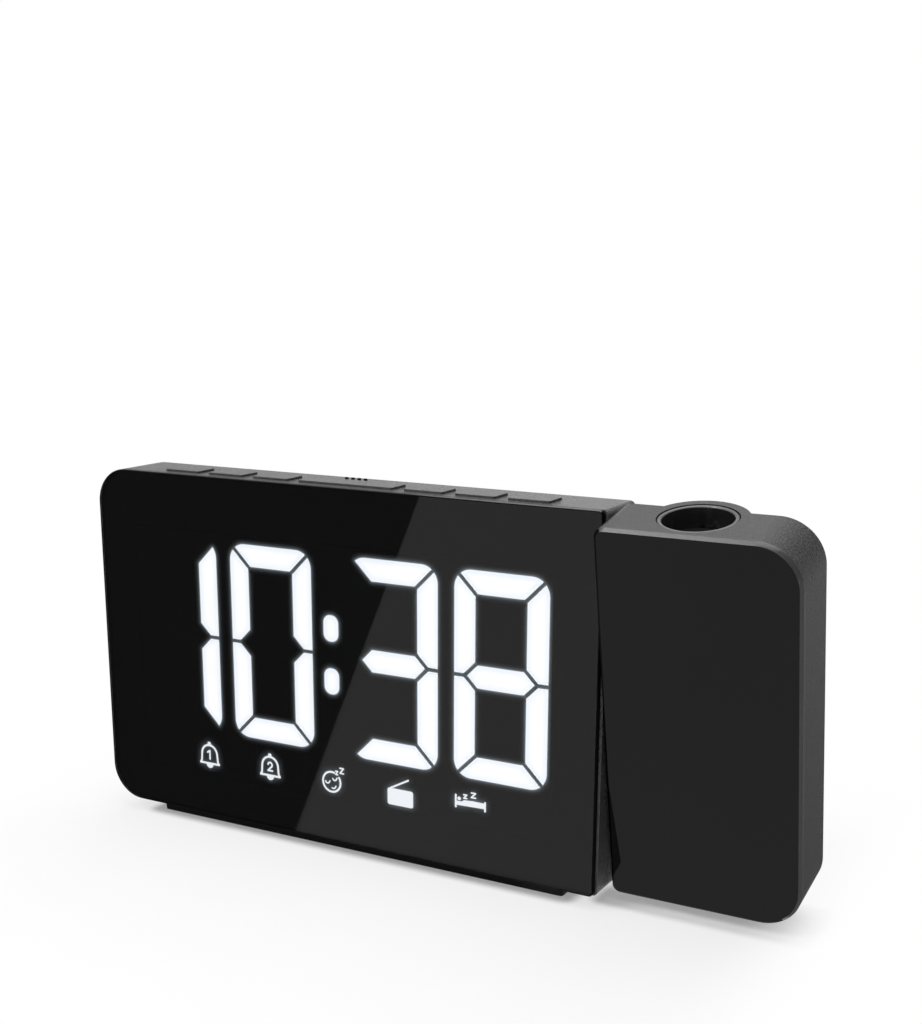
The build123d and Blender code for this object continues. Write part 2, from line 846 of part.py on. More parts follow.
with BuildPart() as board_screws:
    with BuildSketch(facing_front(main_board_back_y + board_screw_head_height)):
        with Locations(*standoff_spots):
            Circle(board_screw_head_radius)
    extrude(amount=board_screw_head_height)
    with BuildSketch(facing_front(main_board_back_y)):
        with Locations(*standoff_spots):
            Circle(board_screw_radius)
    extrude(amount=board_screw_length)
finish_piece(board_screws, "board_screws")

# chips and a radio shield lie flat; the two capacitors stand out into the hump
chip_height = 1.4
chip_places = ((-30.0, 30.0, 10.0, 10.0), (-6.0, 33.0, 7.0, 5.0), (20.0, 34.0, 16.0, 12.0))
capacitor_radius = 3.2
capacitor_height = 8.0
capacitor_places = ((-34.0, -14.0), (-25.0, -14.0))

with BuildPart() as board_chips:
    with BuildSketch(facing_front(main_board_back_y + chip_height)):
        for chip_x, chip_rise, chip_width, chip_depth in chip_places:
            with Locations((chip_x, body_bottom + main_board_bottom + chip_rise)):
                Rectangle(chip_width, chip_depth)
    extrude(amount=chip_height)
finish_piece(board_chips, "board_chips")

with BuildPart() as board_capacitors:
    with BuildSketch(facing_front(main_board_back_y + capacitor_height)):
        for capacitor_x, capacitor_rise in capacitor_places:
            with Locations((capacitor_x, main_board_z + capacitor_rise)):
                Circle(capacitor_radius)
    extrude(amount=capacitor_height)
finish_piece(board_capacitors, "board_capacitors")

# ---------------------------------------------------------------- keys

key_names = (
    "key_time_set",
    "key_alarm_one",
    "key_alarm_two",
    "snooze_bar",
    "key_minus",
    "key_plus",
    "key_projection",
)
snooze_stems = (-snooze_stem_spread / 2, snooze_stem_spread / 2)
stem_bottom = switch_top - stem_engagement

for key_name, (key_x, width) in zip(key_names, key_row):
    stem_steps = snooze_stems if key_name == "snooze_bar" else (0,)
    stem_spots = [(key_x + step, key_row_y) for step in stem_steps]
    with BuildPart() as key:
        with BuildSketch(level_at(key_underside)):
            with Locations((key_x, key_row_y)):
                RectangleRounded(width, key_depth, key_corner - key_gap)
        extrude(amount=body_top + key_rise - key_underside)
        fillet(key.faces().sort_by(Axis.Z)[-1].edges(), key_edge_round)
        with BuildSketch(level_at(flange_bottom)):
            with Locations((key_x, key_row_y + key_flange_lip / 2)):
                Rectangle(width + 2 * key_flange_lip, key_depth + key_flange_lip)
        extrude(amount=key_flange_thickness)
        with BuildSketch(level_at(stem_bottom)):
            with Locations(*stem_spots):
                Circle(key_stem_radius)
        extrude(amount=flange_bottom - stem_bottom)
    finish_piece(key, key_name)

# ---------------------------------------------------------------- button board and switches

switch_spots = [(key_x, key_row_y) for key_x, width in key_row if width == key_width]
switch_spots += [(key_row_x + step, key_row_y) for step in snooze_stems]

with BuildPart() as tact_switches:
    with BuildSketch(level_at(switch_bottom)):
        with Locations(*switch_spots):
            Rectangle(switch_size, switch_size)
    extrude(amount=switch_height)
    with BuildSketch(level_at(switch_top)):
        with Locations(*switch_spots):
            Circle(switch_well_radius)
    extrude(amount=-switch_well_depth, mode=Mode.SUBTRACT)
finish_piece(tact_switches, "tact_switches")

with BuildPart() as button_board:
    with BuildSketch(level_at(button_board_bottom)):
        with Locations((key_row_x, button_board_y)):
            Rectangle(button_post_spread + 2 * button_board_end, button_board_depth)
        with Locations(*button_post_spots):
            Circle(board_screw_radius, mode=Mode.SUBTRACT)
    extrude(amount=board_thickness)
finish_piece(button_board, "button_board")

with BuildPart() as button_board_screws:
    with BuildSketch(level_at(button_board_bottom - board_screw_head_height)):
        with Locations(*button_post_spots):
            Circle(board_screw_head_radius)
    extrude(amount=board_screw_head_height)
    with BuildSketch(level_at(button_board_bottom)):
        with Locations(*button_post_spots):
            Circle(board_screw_radius)
    extrude(amount=board_screw_length)
finish_piece(button_board_screws, "button_board_screws")

# ---------------------------------------------------------------- loudspeaker

speaker_face_y = hump_wall_y
basket_wall = 1.0
cone_front_radius = speaker_radius - 2 * basket_wall
cone_back_radius = magnet_radius / 2
basket_floor_y = speaker_face_y - speaker_flange_thickness - speaker_basket_depth
speaker_spot = (speaker_x, speaker_z)

with BuildPart() as speaker_basket:
    with BuildSketch(facing_front(speaker_face_y)):
        with Locations(speaker_spot):
            Circle(speaker_radius)
    extrude(amount=speaker_flange_thickness)
    with BuildSketch(facing_front(speaker_face_y - speaker_flange_thickness)):
        with Locations(speaker_spot):
            Circle(speaker_radius - basket_wall)
    with BuildSketch(facing_front(basket_floor_y)):
        with Locations(speaker_spot):
            Circle(magnet_radius)
    loft()
    with BuildSketch(facing_front(speaker_face_y)):
        with Locations(speaker_spot):
            Circle(cone_front_radius)
    with BuildSketch(facing_front(basket_floor_y + basket_wall)):
        with Locations(speaker_spot):
            Circle(magnet_radius - basket_wall)
    loft(mode=Mode.SUBTRACT)
finish_piece(speaker_basket, "speaker_basket")

with BuildPart() as speaker_magnet:
    with BuildSketch(facing_front(basket_floor_y)):
        with Locations(speaker_spot):
            Circle(magnet_radius)
    extrude(amount=magnet_thickness)
finish_piece(speaker_magnet, "speaker_magnet")

with BuildPart() as speaker_cone:
    with BuildSketch(facing_front(speaker_face_y - basket_wall)):
        with Locations(speaker_spot):
            Circle(cone_front_radius - basket_wall)
    with BuildSketch(facing_front(basket_floor_y + basket_wall)):
        with Locations(speaker_spot):
            Circle(cone_back_radius)
    loft()
    with BuildSketch(facing_front(speaker_face_y - basket_wall)):
        with Locations(speaker_spot):
            Circle(cone_front_radius - basket_wall - speaker_cone_thickness)
    with BuildSketch(facing_front(basket_floor_y + basket_wall + speaker_cone_thickness)):
        with Locations(speaker_spot):
            Circle(cone_back_radius - speaker_cone_thickness)
    loft(mode=Mode.SUBTRACT)
finish_piece(speaker_cone, "speaker_cone")

# ---------------------------------------------------------------- backup cell

cell_spot = (cell_x, cell_z)
cell_face_y = cup_floor_y + contact_thickness + cell_thickness

with BuildPart() as cell_contact:
    with BuildSketch(facing_front(cup_floor_y + contact_thickness)):
        with Locations(cell_spot):
            Circle(contact_radius)
            Rectangle(contact_radius, 2 * contact_thickness, mode=Mode.SUBTRACT)
    extrude(amount=contact_thickness)
finish_piece(cell_contact, "cell_contact")

# spring strip beside the cell, in the gap round it
with BuildPart() as cell_side_contact:
    with BuildSketch(facing_front(cell_face_y)):
        with Locations(cell_spot):
            Circle(cell_radius + cell_gap)
            Circle(cell_radius, mode=Mode.SUBTRACT)
        with Locations((cell_x, cell_z + cell_radius)):
            Rectangle(side_contact_width, cell_radius, mode=Mode.INTERSECT)
    extrude(amount=cell_thickness)
finish_piece(cell_side_contact, "cell_side_contact")

with BuildPart() as backup_cell:
    with BuildSketch(facing_front(cell_face_y)):
        with Locations(cell_spot):
            Circle(cell_radius)
    extrude(amount=cell_thickness)
    chamfer(backup_cell.faces().sort_by(Axis.Y)[0].edges(), contact_thickness)
finish_piece(backup_cell, "backup_cell")

with BuildPart() as battery_door:
    with BuildSketch(facing_front(hump_back_y)):
        with Locations(cell_spot):
            RectangleRounded(door_width, door_height, door_corner - door_gap)
    extrude(amount=door_thickness)
    with BuildSketch(facing_front(hump_back_y)):
        with Locations((cell_x, cell_z + cell_radius - door_grip_width / 2)):
            with GridLocations(1, 2 * door_grip_depth, 1, 4):
                Rectangle(door_grip_width, door_grip_depth)
    extrude(amount=door_grip_depth, mode=Mode.SUBTRACT)
finish_piece(battery_door, "battery_door")

# ---------------------------------------------------------------- sockets

with BuildPart() as power_socket:
    with BuildSketch(facing_front(hump_wall_y)):
        with Locations((jack_x, socket_z)):
            Rectangle(jack_size, jack_size)
    extrude(amount=jack_length)
    with BuildSketch(facing_front(hump_wall_y)):
        with Locations((jack_x, socket_z)):
            Circle(jack_bore_radius)
    extrude(amount=jack_bore_depth, mode=Mode.SUBTRACT)
finish_piece(power_socket, "power_socket")

with BuildPart() as power_socket_pin:
    with BuildSketch(facing_front(hump_wall_y - jack_pin_radius)):
        with Locations((jack_x, socket_z)):
            Circle(jack_pin_radius)
    extrude(amount=jack_bore_depth - jack_pin_radius)
finish_piece(power_socket_pin, "power_socket_pin")

with BuildPart() as usb_socket:
    with BuildSketch(facing_front(hump_wall_y)):
        with Locations((usb_x, usb_z)):
            Rectangle(usb_width, usb_height)
    extrude(amount=usb_length)
    with BuildSketch(facing_front(hump_wall_y)):
        with Locations((usb_x, usb_z)):
            Rectangle(usb_width - 2 * usb_metal, usb_height - 2 * usb_metal)
    extrude(amount=usb_length - usb_metal, mode=Mode.SUBTRACT)
finish_piece(usb_socket, "usb_socket")

with BuildPart() as usb_tongue:
    with BuildSketch(facing_front(hump_wall_y - usb_tongue_inset)):
        with Locations((usb_x, usb_z + usb_tongue_thickness / 2)):
            Rectangle(usb_tongue_width, usb_tongue_thickness)
    extrude(amount=usb_length - usb_metal - usb_tongue_inset)
finish_piece(usb_tongue, "usb_tongue")

with BuildPart() as socket_board:
    with BuildSketch(level_at(socket_board_bottom)):
        with Locations((socket_board_left, socket_board_front_y)):
            socket_board_width = socket_board_right - socket_board_left
            socket_board_length = hump_wall_y - socket_board_front_y
            Rectangle(socket_board_width, socket_board_length, align=(Align.MIN, Align.MIN))
        with Locations(*socket_post_spots):
            Circle(board_screw_radius, mode=Mode.SUBTRACT)
    extrude(amount=board_thickness)
finish_piece(socket_board, "socket_board")

with BuildPart() as socket_board_screws:
    with BuildSketch(level_at(socket_board_top)):
        with Locations(*socket_post_spots):
            Circle(board_screw_head_radius)
    extrude(amount=board_screw_head_height)
    with BuildSketch(level_at(socket_board_top)):
        with Locations(*socket_post_spots):
            Circle(board_screw_radius)
    extrude(amount=-board_screw_length)
finish_piece(socket_board_screws, "socket_board_screws")

with BuildPart() as aerial_grommet:
    with BuildSketch(facing_front(back_y + grommet_lip)):
        with Locations(grommet_spot):
            Circle(grommet_lip_radius)
    extrude(amount=grommet_lip)
    with BuildSketch(facing_front(back_y)):
        with Locations(grommet_spot):
            Circle(grommet_radius)
    extrude(amount=cover_thickness)
    fillet(aerial_grommet.faces().sort_by(Axis.Y)[-1].edges(), grommet_lip / 2)
    with BuildSketch(facing_front(back_y + grommet_lip)):
        with Locations(grommet_spot):
            Circle(grommet_bore_radius)
    extrude(amount=grommet_lip + cover_thickness, mode=Mode.SUBTRACT)
finish_piece(aerial_grommet, "aerial_grommet")

# ---------------------------------------------------------------- arm pivot

pivot_spot = (0, pivot_z)

with BuildPart() as pivot_bush:
    with BuildSketch(facing_right(block_inner_x)):
        with Locations(pivot_spot):
            Circle(bush_radius)
    extrude(amount=bush_face_x - block_inner_x)
    with BuildSketch(facing_right(pocket_floor_x)):
        with Locations(pivot_spot):
            Circle(bush_flange_radius)
    extrude(amount=bush_flange_thickness)
    with BuildSketch(facing_right(block_inner_x)):
        with Locations(pivot_spot):
            Circle(axle_radius + running_gap)
    extrude(amount=bush_face_x - block_inner_x, mode=Mode.SUBTRACT)
finish_piece(pivot_bush, "pivot_bush")

with BuildPart() as friction_washer:
    with BuildSketch(facing_right(washer_inner_x)):
        with Locations(pivot_spot):
            Circle(washer_radius)
            Circle(axle_radius + running_gap, mode=Mode.SUBTRACT)
    extrude(amount=washer_thickness)
finish_piece(friction_washer, "friction_washer")

with BuildPart() as pivot_clip:
    with BuildSketch(facing_right(clip_inner_x)):
        with Locations(pivot_spot):
            Circle(clip_radius)
            Circle(clip_groove_radius + running_gap, mode=Mode.SUBTRACT)
        with Locations((0, pivot_z - clip_radius)):
            Rectangle(clip_groove_radius, 2 * clip_radius, mode=Mode.SUBTRACT)
    extrude(amount=clip_thickness)
finish_piece(pivot_clip, "pivot_clip")

with BuildPart() as pivot_axle:
    with BuildSketch(facing_right(axle_end_x)):
        with Locations(pivot_spot):
            Circle(axle_radius)
    extrude(amount=hub_face_x - axle_end_x)
    with BuildSketch(facing_right(hub_seat_x)):
        with Locations(pivot_spot):
            Circle(hub_flange_radius)
    extrude(amount=hub_flange_thickness)
    # groove for the clip
    with BuildSketch(facing_right(clip_inner_x - running_gap / 2)):
        with Locations(pivot_spot):
            Circle(axle_radius)
            Circle(clip_groove_radius, mode=Mode.SUBTRACT)
    extrude(amount=clip_thickness + running_gap, mode=Mode.SUBTRACT)
    # bore for the arm's wires, and the screw holes in the flange
    with BuildSketch(facing_right(axle_end_x)):
        with Locations(pivot_spot):
            Circle(axle_bore_radius)
    extrude(amount=hub_face_x - axle_end_x, mode=Mode.SUBTRACT)
    with BuildSketch(facing_right(hub_seat_x)):
        with Locations(pivot_spot):
            with PolarLocations(hub_screw_circle, hub_screw_count):
                Circle(hub_screw_radius + running_gap)
    extrude(amount=hub_flange_thickness, mode=Mode.SUBTRACT)
finish_piece(pivot_axle, "pivot_axle")

with BuildPart() as hub_screws:
    with BuildSketch(facing_right(hub_face_x)):
        with Locations(pivot_spot):
            with PolarLocations(hub_screw_circle, hub_screw_count):
                Circle(hub_screw_head_radius)
    extrude(amount=hub_screw_head_height)
    with BuildSketch(facing_right(hub_face_x)):
        with Locations(pivot_spot):
            with PolarLocations(hub_screw_circle, hub_screw_count):
                Circle(hub_screw_radius)
    extrude(amount=-hub_screw_length)
finish_piece(hub_screws, "hub_screws")

# ---------------------------------------------------------------- projector arm

lens_spot = (lens_x, lens_y)


def tube_section():
    """Section of the lens tube: a circle cut off flat behind the front plate, in the open sketch."""
    with Locations(lens_spot):
        Circle(tube_radius)
    with Locations((lens_x, arm_shell_front_y + tube_radius + lens_y)):
        Rectangle(2 * tube_radius, 2 * (tube_radius + lens_y), mode=Mode.INTERSECT)


with BuildPart() as projector_plate:
    with BuildSketch(arm_facing_front(arm_shell_front_y)):
        arm_outline(0)
    extrude(amount=arm_plate_thickness)
    plate_face = projector_plate.faces().sort_by(Axis(pivot, arm_back))[0]
    chamfer(plate_face.edges(), arm_plate_chamfer)
finish_piece(projector_plate, "projector_plate")

with BuildPart() as projector_shell:
    with BuildSketch(arm_facing_front(arm_rear_y)):
        arm_outline(0)
    extrude(amount=arm_rear_y - arm_shell_front_y)
    rear_face = projector_shell.faces().sort_by(Axis(pivot, arm_back))[-1]
    chamfer(rear_face.edges(), rear_edge_chamfer)
    with BuildSketch(arm_facing_front(arm_rear_y - wall)):
        arm_outline(wall)
    extrude(amount=arm_rear_y - wall - arm_shell_front_y, mode=Mode.SUBTRACT)
    # lens tube, which swells out of the back, with a conical lower end
    with BuildSketch(arm_level(tube_bottom)):
        tube_section()
    extrude(amount=arm_top - tube_bottom)
    with BuildSketch(arm_level(tube_bottom)):
        tube_section()
    extrude(amount=-tube_cone_height, taper=tube_cone_angle)
    # stepped bore: focus ring, lens barrel, lamp parts
    with BuildSketch(arm_level(ring_seat)):
        with Locations(lens_spot):
            Circle(ring_bore_radius)
    extrude(amount=arm_top - ring_seat, mode=Mode.SUBTRACT)
    with BuildSketch(arm_level(lamp_bore_top)):
        with Locations(lens_spot):
            Circle(barrel_bore_radius)
    extrude(amount=ring_seat - lamp_bore_top, mode=Mode.SUBTRACT)
    with BuildSketch(arm_level(tube_bottom)):
        with Locations(lens_spot):
            Circle(lamp_bore_radius)
    extrude(amount=lamp_bore_top - tube_bottom, mode=Mode.SUBTRACT)
    # rib that keeps the barrel from turning
    with BuildSketch(arm_level(lamp_bore_top)):
        with Locations((lens_x, lens_y + barrel_bore_radius)):
            Rectangle(guide_width, 2 * guide_height)
    extrude(amount=ring_seat - lamp_bore_top)
    # pad and boss for the pivot axle, bored through
    with BuildSketch(facing_right(arm_inner_x)):
        with Locations(pivot_spot):
            Circle(hub_flange_radius)
    extrude(amount=hub_pad_thickness)
    with BuildSketch(facing_right(arm_left)):
        with Locations(pivot_spot):
            Circle(bush_flange_radius)
    extrude(amount=boss_end_x - arm_left)
    with BuildSketch(facing_right(boss_end_x)):
        with Locations(pivot_spot):
            Circle(axle_radius)
    extrude(amount=hub_seat_x - boss_end_x, mode=Mode.SUBTRACT)
    with BuildSketch(facing_right(hub_seat_x)):
        with Locations(pivot_spot):
            with PolarLocations(hub_screw_circle, hub_screw_count):
                Circle(hub_screw_radius)
    extrude(amount=hub_flange_thickness - hub_screw_length, mode=Mode.SUBTRACT)
finish_piece(projector_shell, "projector_shell")

# ---------------------------------------------------------------- focus ring and lens barrel

with BuildPart() as focus_ring:
    with BuildSketch(arm_level(ring_seat + ring_seat_gap)):
        with Locations(lens_spot):
            Circle(ring_radius)
            Circle(ring_radius - ring_wall, mode=Mode.SUBTRACT)
    extrude(amount=arm_top - ring_drop - ring_seat - ring_seat_gap)
    ring_rim = focus_ring.faces().sort_by(Axis(pivot, arm_up))[-1]
    fillet(ring_rim.edges(), ring_edge_round)
finish_piece(focus_ring, "focus_ring")

barrel_inner_radius = barrel_radius - barrel_wall

with BuildPart() as lens_barrel:
    with BuildSketch(arm_level(barrel_bottom)):
        with Locations(lens_spot):
            Circle(barrel_radius)
            Circle(barrel_inner_radius - lens_seat_lip, mode=Mode.SUBTRACT)
    extrude(amount=barrel_top - barrel_bottom)
    with BuildSketch(arm_level(lens_seat)):
        with Locations(lens_spot):
            Circle(barrel_inner_radius)
    extrude(amount=barrel_top - lens_seat, mode=Mode.SUBTRACT)
    with BuildSketch(arm_level(barrel_bottom)):
        with Locations((lens_x, lens_y + barrel_bore_radius)):
            Rectangle(guide_width + 2 * guide_gap, 2 * (guide_height + guide_gap))
    extrude(amount=barrel_top - barrel_bottom, mode=Mode.SUBTRACT)
finish_piece(lens_barrel, "lens_barrel")


def lens_profile(edge_radius, edge_height, bulge_radius, seat):
    """Half profile of a lens: flat edge, bulged top and flat base, in the lens's own axis plane."""
    sagitta = bulge_radius - (bulge_radius**2 - edge_radius**2) ** 0.5
    with BuildSketch(Plane(origin=pivot, x_dir=(1, 0, 0), z_dir=-arm_back).offset(-lens_y)) as half:
        with Locations((lens_x, seat + edge_height + sagitta - bulge_radius)):
            Circle(bulge_radius)
        with Locations((lens_x + edge_radius / 2, seat + (edge_height + sagitta) / 2)):
            Rectangle(edge_radius, edge_height + sagitta, mode=Mode.INTERSECT)
    return half.sketch


lens_axis = Axis(pivot + Vector(lens_x, 0, 0) + arm_back * lens_y, arm_up)
lens_radius = barrel_inner_radius - lens_edge_gap

with BuildPart() as projection_lens:
    add(lens_profile(lens_radius, lens_edge, lens_bulge_radius, lens_seat))
    revolve(axis=lens_axis)
finish_piece(projection_lens, "projection_lens")

with BuildPart() as lens_clip:
    with BuildSketch(arm_level(barrel_top - lens_clip_height)):
        with Locations(lens_spot):
            Circle(barrel_inner_radius - lens_edge_gap / 2)
            Circle(barrel_inner_radius - lens_clip_wall, mode=Mode.SUBTRACT)
    extrude(amount=lens_clip_height)
finish_piece(lens_clip, "lens_clip")

# ---------------------------------------------------------------- lamp parts

with BuildPart() as led_board:
    with BuildSketch(arm_level(tube_bottom)):
        with Locations(lens_spot):
            Circle(lamp_tube_radius)
    extrude(amount=led_board_thickness)
finish_piece(led_board, "led_board")

with BuildPart() as projector_led:
    with BuildSketch(arm_level(led_board_top)):
        with Locations(lens_spot):
            Circle(led_flange_radius)
    extrude(amount=led_flange_height)
    with BuildSketch(arm_level(led_board_top + led_flange_height)):
        with Locations(lens_spot):
            Circle(led_radius)
    extrude(amount=led_body_height)
    led_dome_face = projector_led.faces().sort_by(Axis(pivot, arm_up))[-1]
    fillet(led_dome_face.edges(), led_radius - lens_edge_gap)
finish_piece(projector_led, "projector_led")

lamp_tube_bore = lamp_tube_radius - lamp_tube_wall

with BuildPart() as lamp_tube:
    with BuildSketch(arm_level(led_board_top)):
        with Locations(lens_spot):
            Circle(lamp_tube_radius)
            Circle(lamp_tube_bore - condenser_lip, mode=Mode.SUBTRACT)
    extrude(amount=lamp_tube_top - led_board_top)
    with BuildSketch(arm_level(condenser_seat)):
        with Locations(lens_spot):
            Circle(lamp_tube_bore)
    extrude(amount=lamp_tube_top - condenser_seat, mode=Mode.SUBTRACT)
finish_piece(lamp_tube, "lamp_tube")

with BuildPart() as condenser_lens:
    condenser_radius = lamp_tube_bore - lens_edge_gap
    add(lens_profile(condenser_radius, condenser_edge, condenser_bulge_radius, condenser_seat))
    revolve(axis=lens_axis)
finish_piece(condenser_lens, "condenser_lens")

with BuildPart() as time_slide:
    with BuildSketch(arm_level(lamp_tube_top)):
        with Locations(lens_spot):
            Circle(lamp_tube_radius)
    extrude(amount=slide_thickness)
finish_piece(time_slide, "time_slide")

with BuildPart() as slide_ring:
    with BuildSketch(arm_level(lamp_tube_top + slide_thickness)):
        with Locations(lens_spot):
            Circle(lamp_tube_radius)
            Circle(lamp_tube_radius - slide_ring_wall, mode=Mode.SUBTRACT)
    extrude(amount=lamp_bore_top - lamp_tube_top - slide_thickness)
finish_piece(slide_ring, "slide_ring")
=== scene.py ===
"""The looks of a projection alarm clock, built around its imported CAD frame."""
import json
from functools import partial
from math import atan2, cos, exp, pi, radians, sin

import bmesh
import bpy
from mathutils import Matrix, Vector
from mathutils.geometry import convex_hull_2d, delaunay_2d_cdt


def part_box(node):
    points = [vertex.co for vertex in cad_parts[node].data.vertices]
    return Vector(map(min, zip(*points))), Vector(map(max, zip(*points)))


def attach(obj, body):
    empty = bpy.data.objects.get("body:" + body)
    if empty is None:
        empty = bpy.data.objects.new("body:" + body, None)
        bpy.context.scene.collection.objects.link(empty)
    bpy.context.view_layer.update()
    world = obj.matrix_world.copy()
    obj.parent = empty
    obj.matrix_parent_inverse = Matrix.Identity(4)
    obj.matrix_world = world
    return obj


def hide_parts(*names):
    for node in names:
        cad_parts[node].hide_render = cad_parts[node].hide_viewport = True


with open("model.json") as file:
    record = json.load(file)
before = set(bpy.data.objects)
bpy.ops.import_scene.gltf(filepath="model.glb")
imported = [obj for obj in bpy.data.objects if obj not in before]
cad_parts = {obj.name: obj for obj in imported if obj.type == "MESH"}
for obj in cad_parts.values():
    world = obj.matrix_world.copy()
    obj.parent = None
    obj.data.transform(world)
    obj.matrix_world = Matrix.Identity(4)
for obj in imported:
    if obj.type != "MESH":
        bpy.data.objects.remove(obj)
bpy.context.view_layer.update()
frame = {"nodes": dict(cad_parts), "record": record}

nodes = frame["nodes"]
record = frame["record"]
slot_of = {entry["node"]: entry["material_slot"] for entry in record["subparts"]}
MM = 0.001


# ---------------------------------------------------------------- shader helpers
def add(tree, kind, inputs=None, **settings):
    """A new node with its settings and the values of its inputs."""
    made = tree.nodes.new(kind)
    for key, value in settings.items():
        setattr(made, key, value)
    for key, value in (inputs or {}).items():
        made.inputs[key].default_value = value
    return made


def feed(tree, value, socket):
    """A number or a colour set on an input, or another node's output linked to it."""
    if isinstance(value, (int, float, tuple)):
        socket.default_value = value
    else:
        tree.links.new(value, socket)


def material(name):
    """An empty node material, its tree and its output node."""
    made = bpy.data.materials.new(name)
    made.use_nodes = True
    tree = made.node_tree
    tree.nodes.clear()
    return made, tree, tree.nodes.new("ShaderNodeOutputMaterial")


def math_node(tree, operation, *values):
    """The output of a math node over outputs or numbers."""
    made = add(tree, "ShaderNodeMath", operation=operation)
    for index, value in enumerate(values):
        feed(tree, value, made.inputs[index])
    return made.outputs[0]


def noise(tree, coords, scale, detail=2.0, roughness=0.5):
    """Noise between 0 and 1, with so many waves to a metre."""
    made = add(tree, "ShaderNodeTexNoise", {"Scale": scale, "Detail": detail, "Roughness": roughness})
    tree.links.new(coords, made.inputs["Vector"])
    return made.outputs["Fac"]


def spread(tree, value, low, high, to_low=0.0, to_high=1.0):
    """A value mapped from one span to another, and held at the second span's ends."""
    made = add(tree, "ShaderNodeMapRange",
               {"From Min": low, "From Max": high, "To Min": to_low, "To Max": to_high})
    tree.links.new(value, made.inputs["Value"])
    return made.outputs["Result"]


def eased(tree, value, low, high):
    """A value mapped from a span to 0 to 1, with soft ends."""
    made = add(tree, "ShaderNodeMapRange", {"From Min": low, "From Max": high},
               interpolation_type="SMOOTHSTEP")
    tree.links.new(value, made.inputs["Value"])
    return made.outputs["Result"]


def blend(tree, share, first, second):
    """A value between two, by a share from 0 to 1."""
    made = add(tree, "ShaderNodeMix", data_type="FLOAT")
    for index, value in ((0, share), (2, first), (3, second)):
        feed(tree, value, made.inputs[index])
    return made.outputs[0]


def tint(tree, share, first, second):
    """A colour between two, by a share from 0 to 1: each is three numbers or an output."""
    made = add(tree, "ShaderNodeMix", data_type="RGBA")
    feed(tree, share, made.inputs[0])
    for index, colour in ((6, first), (7, second)):
        feed(tree, (*colour, 1.0) if isinstance(colour, tuple) else colour, made.inputs[index])
    return made.outputs[2]


def object_coords(tree):
    return add(tree, "ShaderNodeTexCoord").outputs["Object"]


def sharp_edge_share(tree, radius, flat=0.985, full=0.75):
    """1 along sharp edges and 0 on the flats.

    It starts and is complete at two cosines, flat and full, of the angle between a face's normal
    and the normal smoothed over the radius.
    """
    bevel = add(tree, "ShaderNodeBevel", {"Radius": radius}, samples=6)
    plain = add(tree, "ShaderNodeNewGeometry")
    dot = add(tree, "ShaderNodeVectorMath", operation="DOT_PRODUCT")
    tree.links.new(bevel.outputs["Normal"], dot.inputs[0])
    tree.links.new(plain.outputs["True Normal"], dot.inputs[1])
    return spread(tree, dot.outputs["Value"], flat, full)


def finish_surface(tree, shader, out, relief, height):
    """Relief in a shader's normal, and the shader as the surface of its material."""
    bump = add(tree, "ShaderNodeBump", {"Distance": height})
    tree.links.new(relief, bump.inputs["Height"])
    tree.links.new(bump.outputs["Normal"], shader.inputs["Normal"])
    tree.links.new(shader.outputs["BSDF"], out.inputs["Surface"])


# ---------------------------------------------------------------- kinds of finish
# Most of a noise lies between 0.3 and 0.7, and narrower spans of it give more contrast.
NOISE_SPAN = (0.3, 0.7)
PATCH_SPAN = (0.35, 0.65)
GRAIN_SPAN = (0.40, 0.60)
# Sharp edges take a lighter tint, patchy along them, as a painted highlight: its reach, how many patches to a
# metre and its least share.
EDGE_HIGHLIGHT_RADIUS = 0.3 * MM
EDGE_HIGHLIGHT_PATCHES = 600.0
EDGE_HIGHLIGHT_LEAST = 0.3


def surface(name, low, high, rough, grain=0.4, height=0.02, patch=30.0, metallic=0.0, specular=0.5,
            edge_highlight=0.0, edge_highlight_tint=None, alpha=1.0, grain_detail=3.0, speckle=0.0):
    """A moulded, cast or coated finish: patchy colour, fine grain in the normal, varied roughness.

    low and high are the ends of the colour, and rough those of the roughness. grain, height and
    patch are sizes in millimetres. wear is how far sharp edges take edge_highlight_tint, a lighter tint that
    paints a highlight along them, and speckle how far the fine grain, and not the patches, decides
    the colour.
    """
    made, tree, out = material(name)
    shader = add(tree, "ShaderNodeBsdfPrincipled",
                 {"Metallic": metallic, "Specular IOR Level": specular, "Alpha": alpha})
    coords = object_coords(tree)
    patches = noise(tree, coords, 1 / (patch * MM), detail=4.0, roughness=0.6)
    fine = noise(tree, coords, 1 / (grain * MM), detail=grain_detail, roughness=0.6)
    shade = math_node(tree, "ADD", spread(tree, patches, *PATCH_SPAN, 0.0, 1.0 - speckle),
                      spread(tree, fine, *GRAIN_SPAN, 0.0, speckle))
    colour = tint(tree, shade, low, high)
    if edge_highlight:
        highlighted_edges = math_node(tree, "MULTIPLY", sharp_edge_share(tree, EDGE_HIGHLIGHT_RADIUS), edge_highlight)
        uneven = spread(tree, noise(tree, coords, EDGE_HIGHLIGHT_PATCHES), *NOISE_SPAN, EDGE_HIGHLIGHT_LEAST, 1.0)
        colour = tint(tree, math_node(tree, "MULTIPLY", highlighted_edges, uneven), colour, edge_highlight_tint)
    tree.links.new(colour, shader.inputs["Base Color"])
    tree.links.new(spread(tree, patches, *NOISE_SPAN, *rough), shader.inputs["Roughness"])
    finish_surface(tree, shader, out, fine, height * MM)
    return made


MILKY = (0.3, 0.32, 0.34, 1.0)
MILKY_ROUGHNESS = 0.6
MILKY_GRAIN, MILKY_HEIGHT = 2500.0, 0.01 * MM
CLOUDS = 90.0
CLOUD_SHARE = 0.01


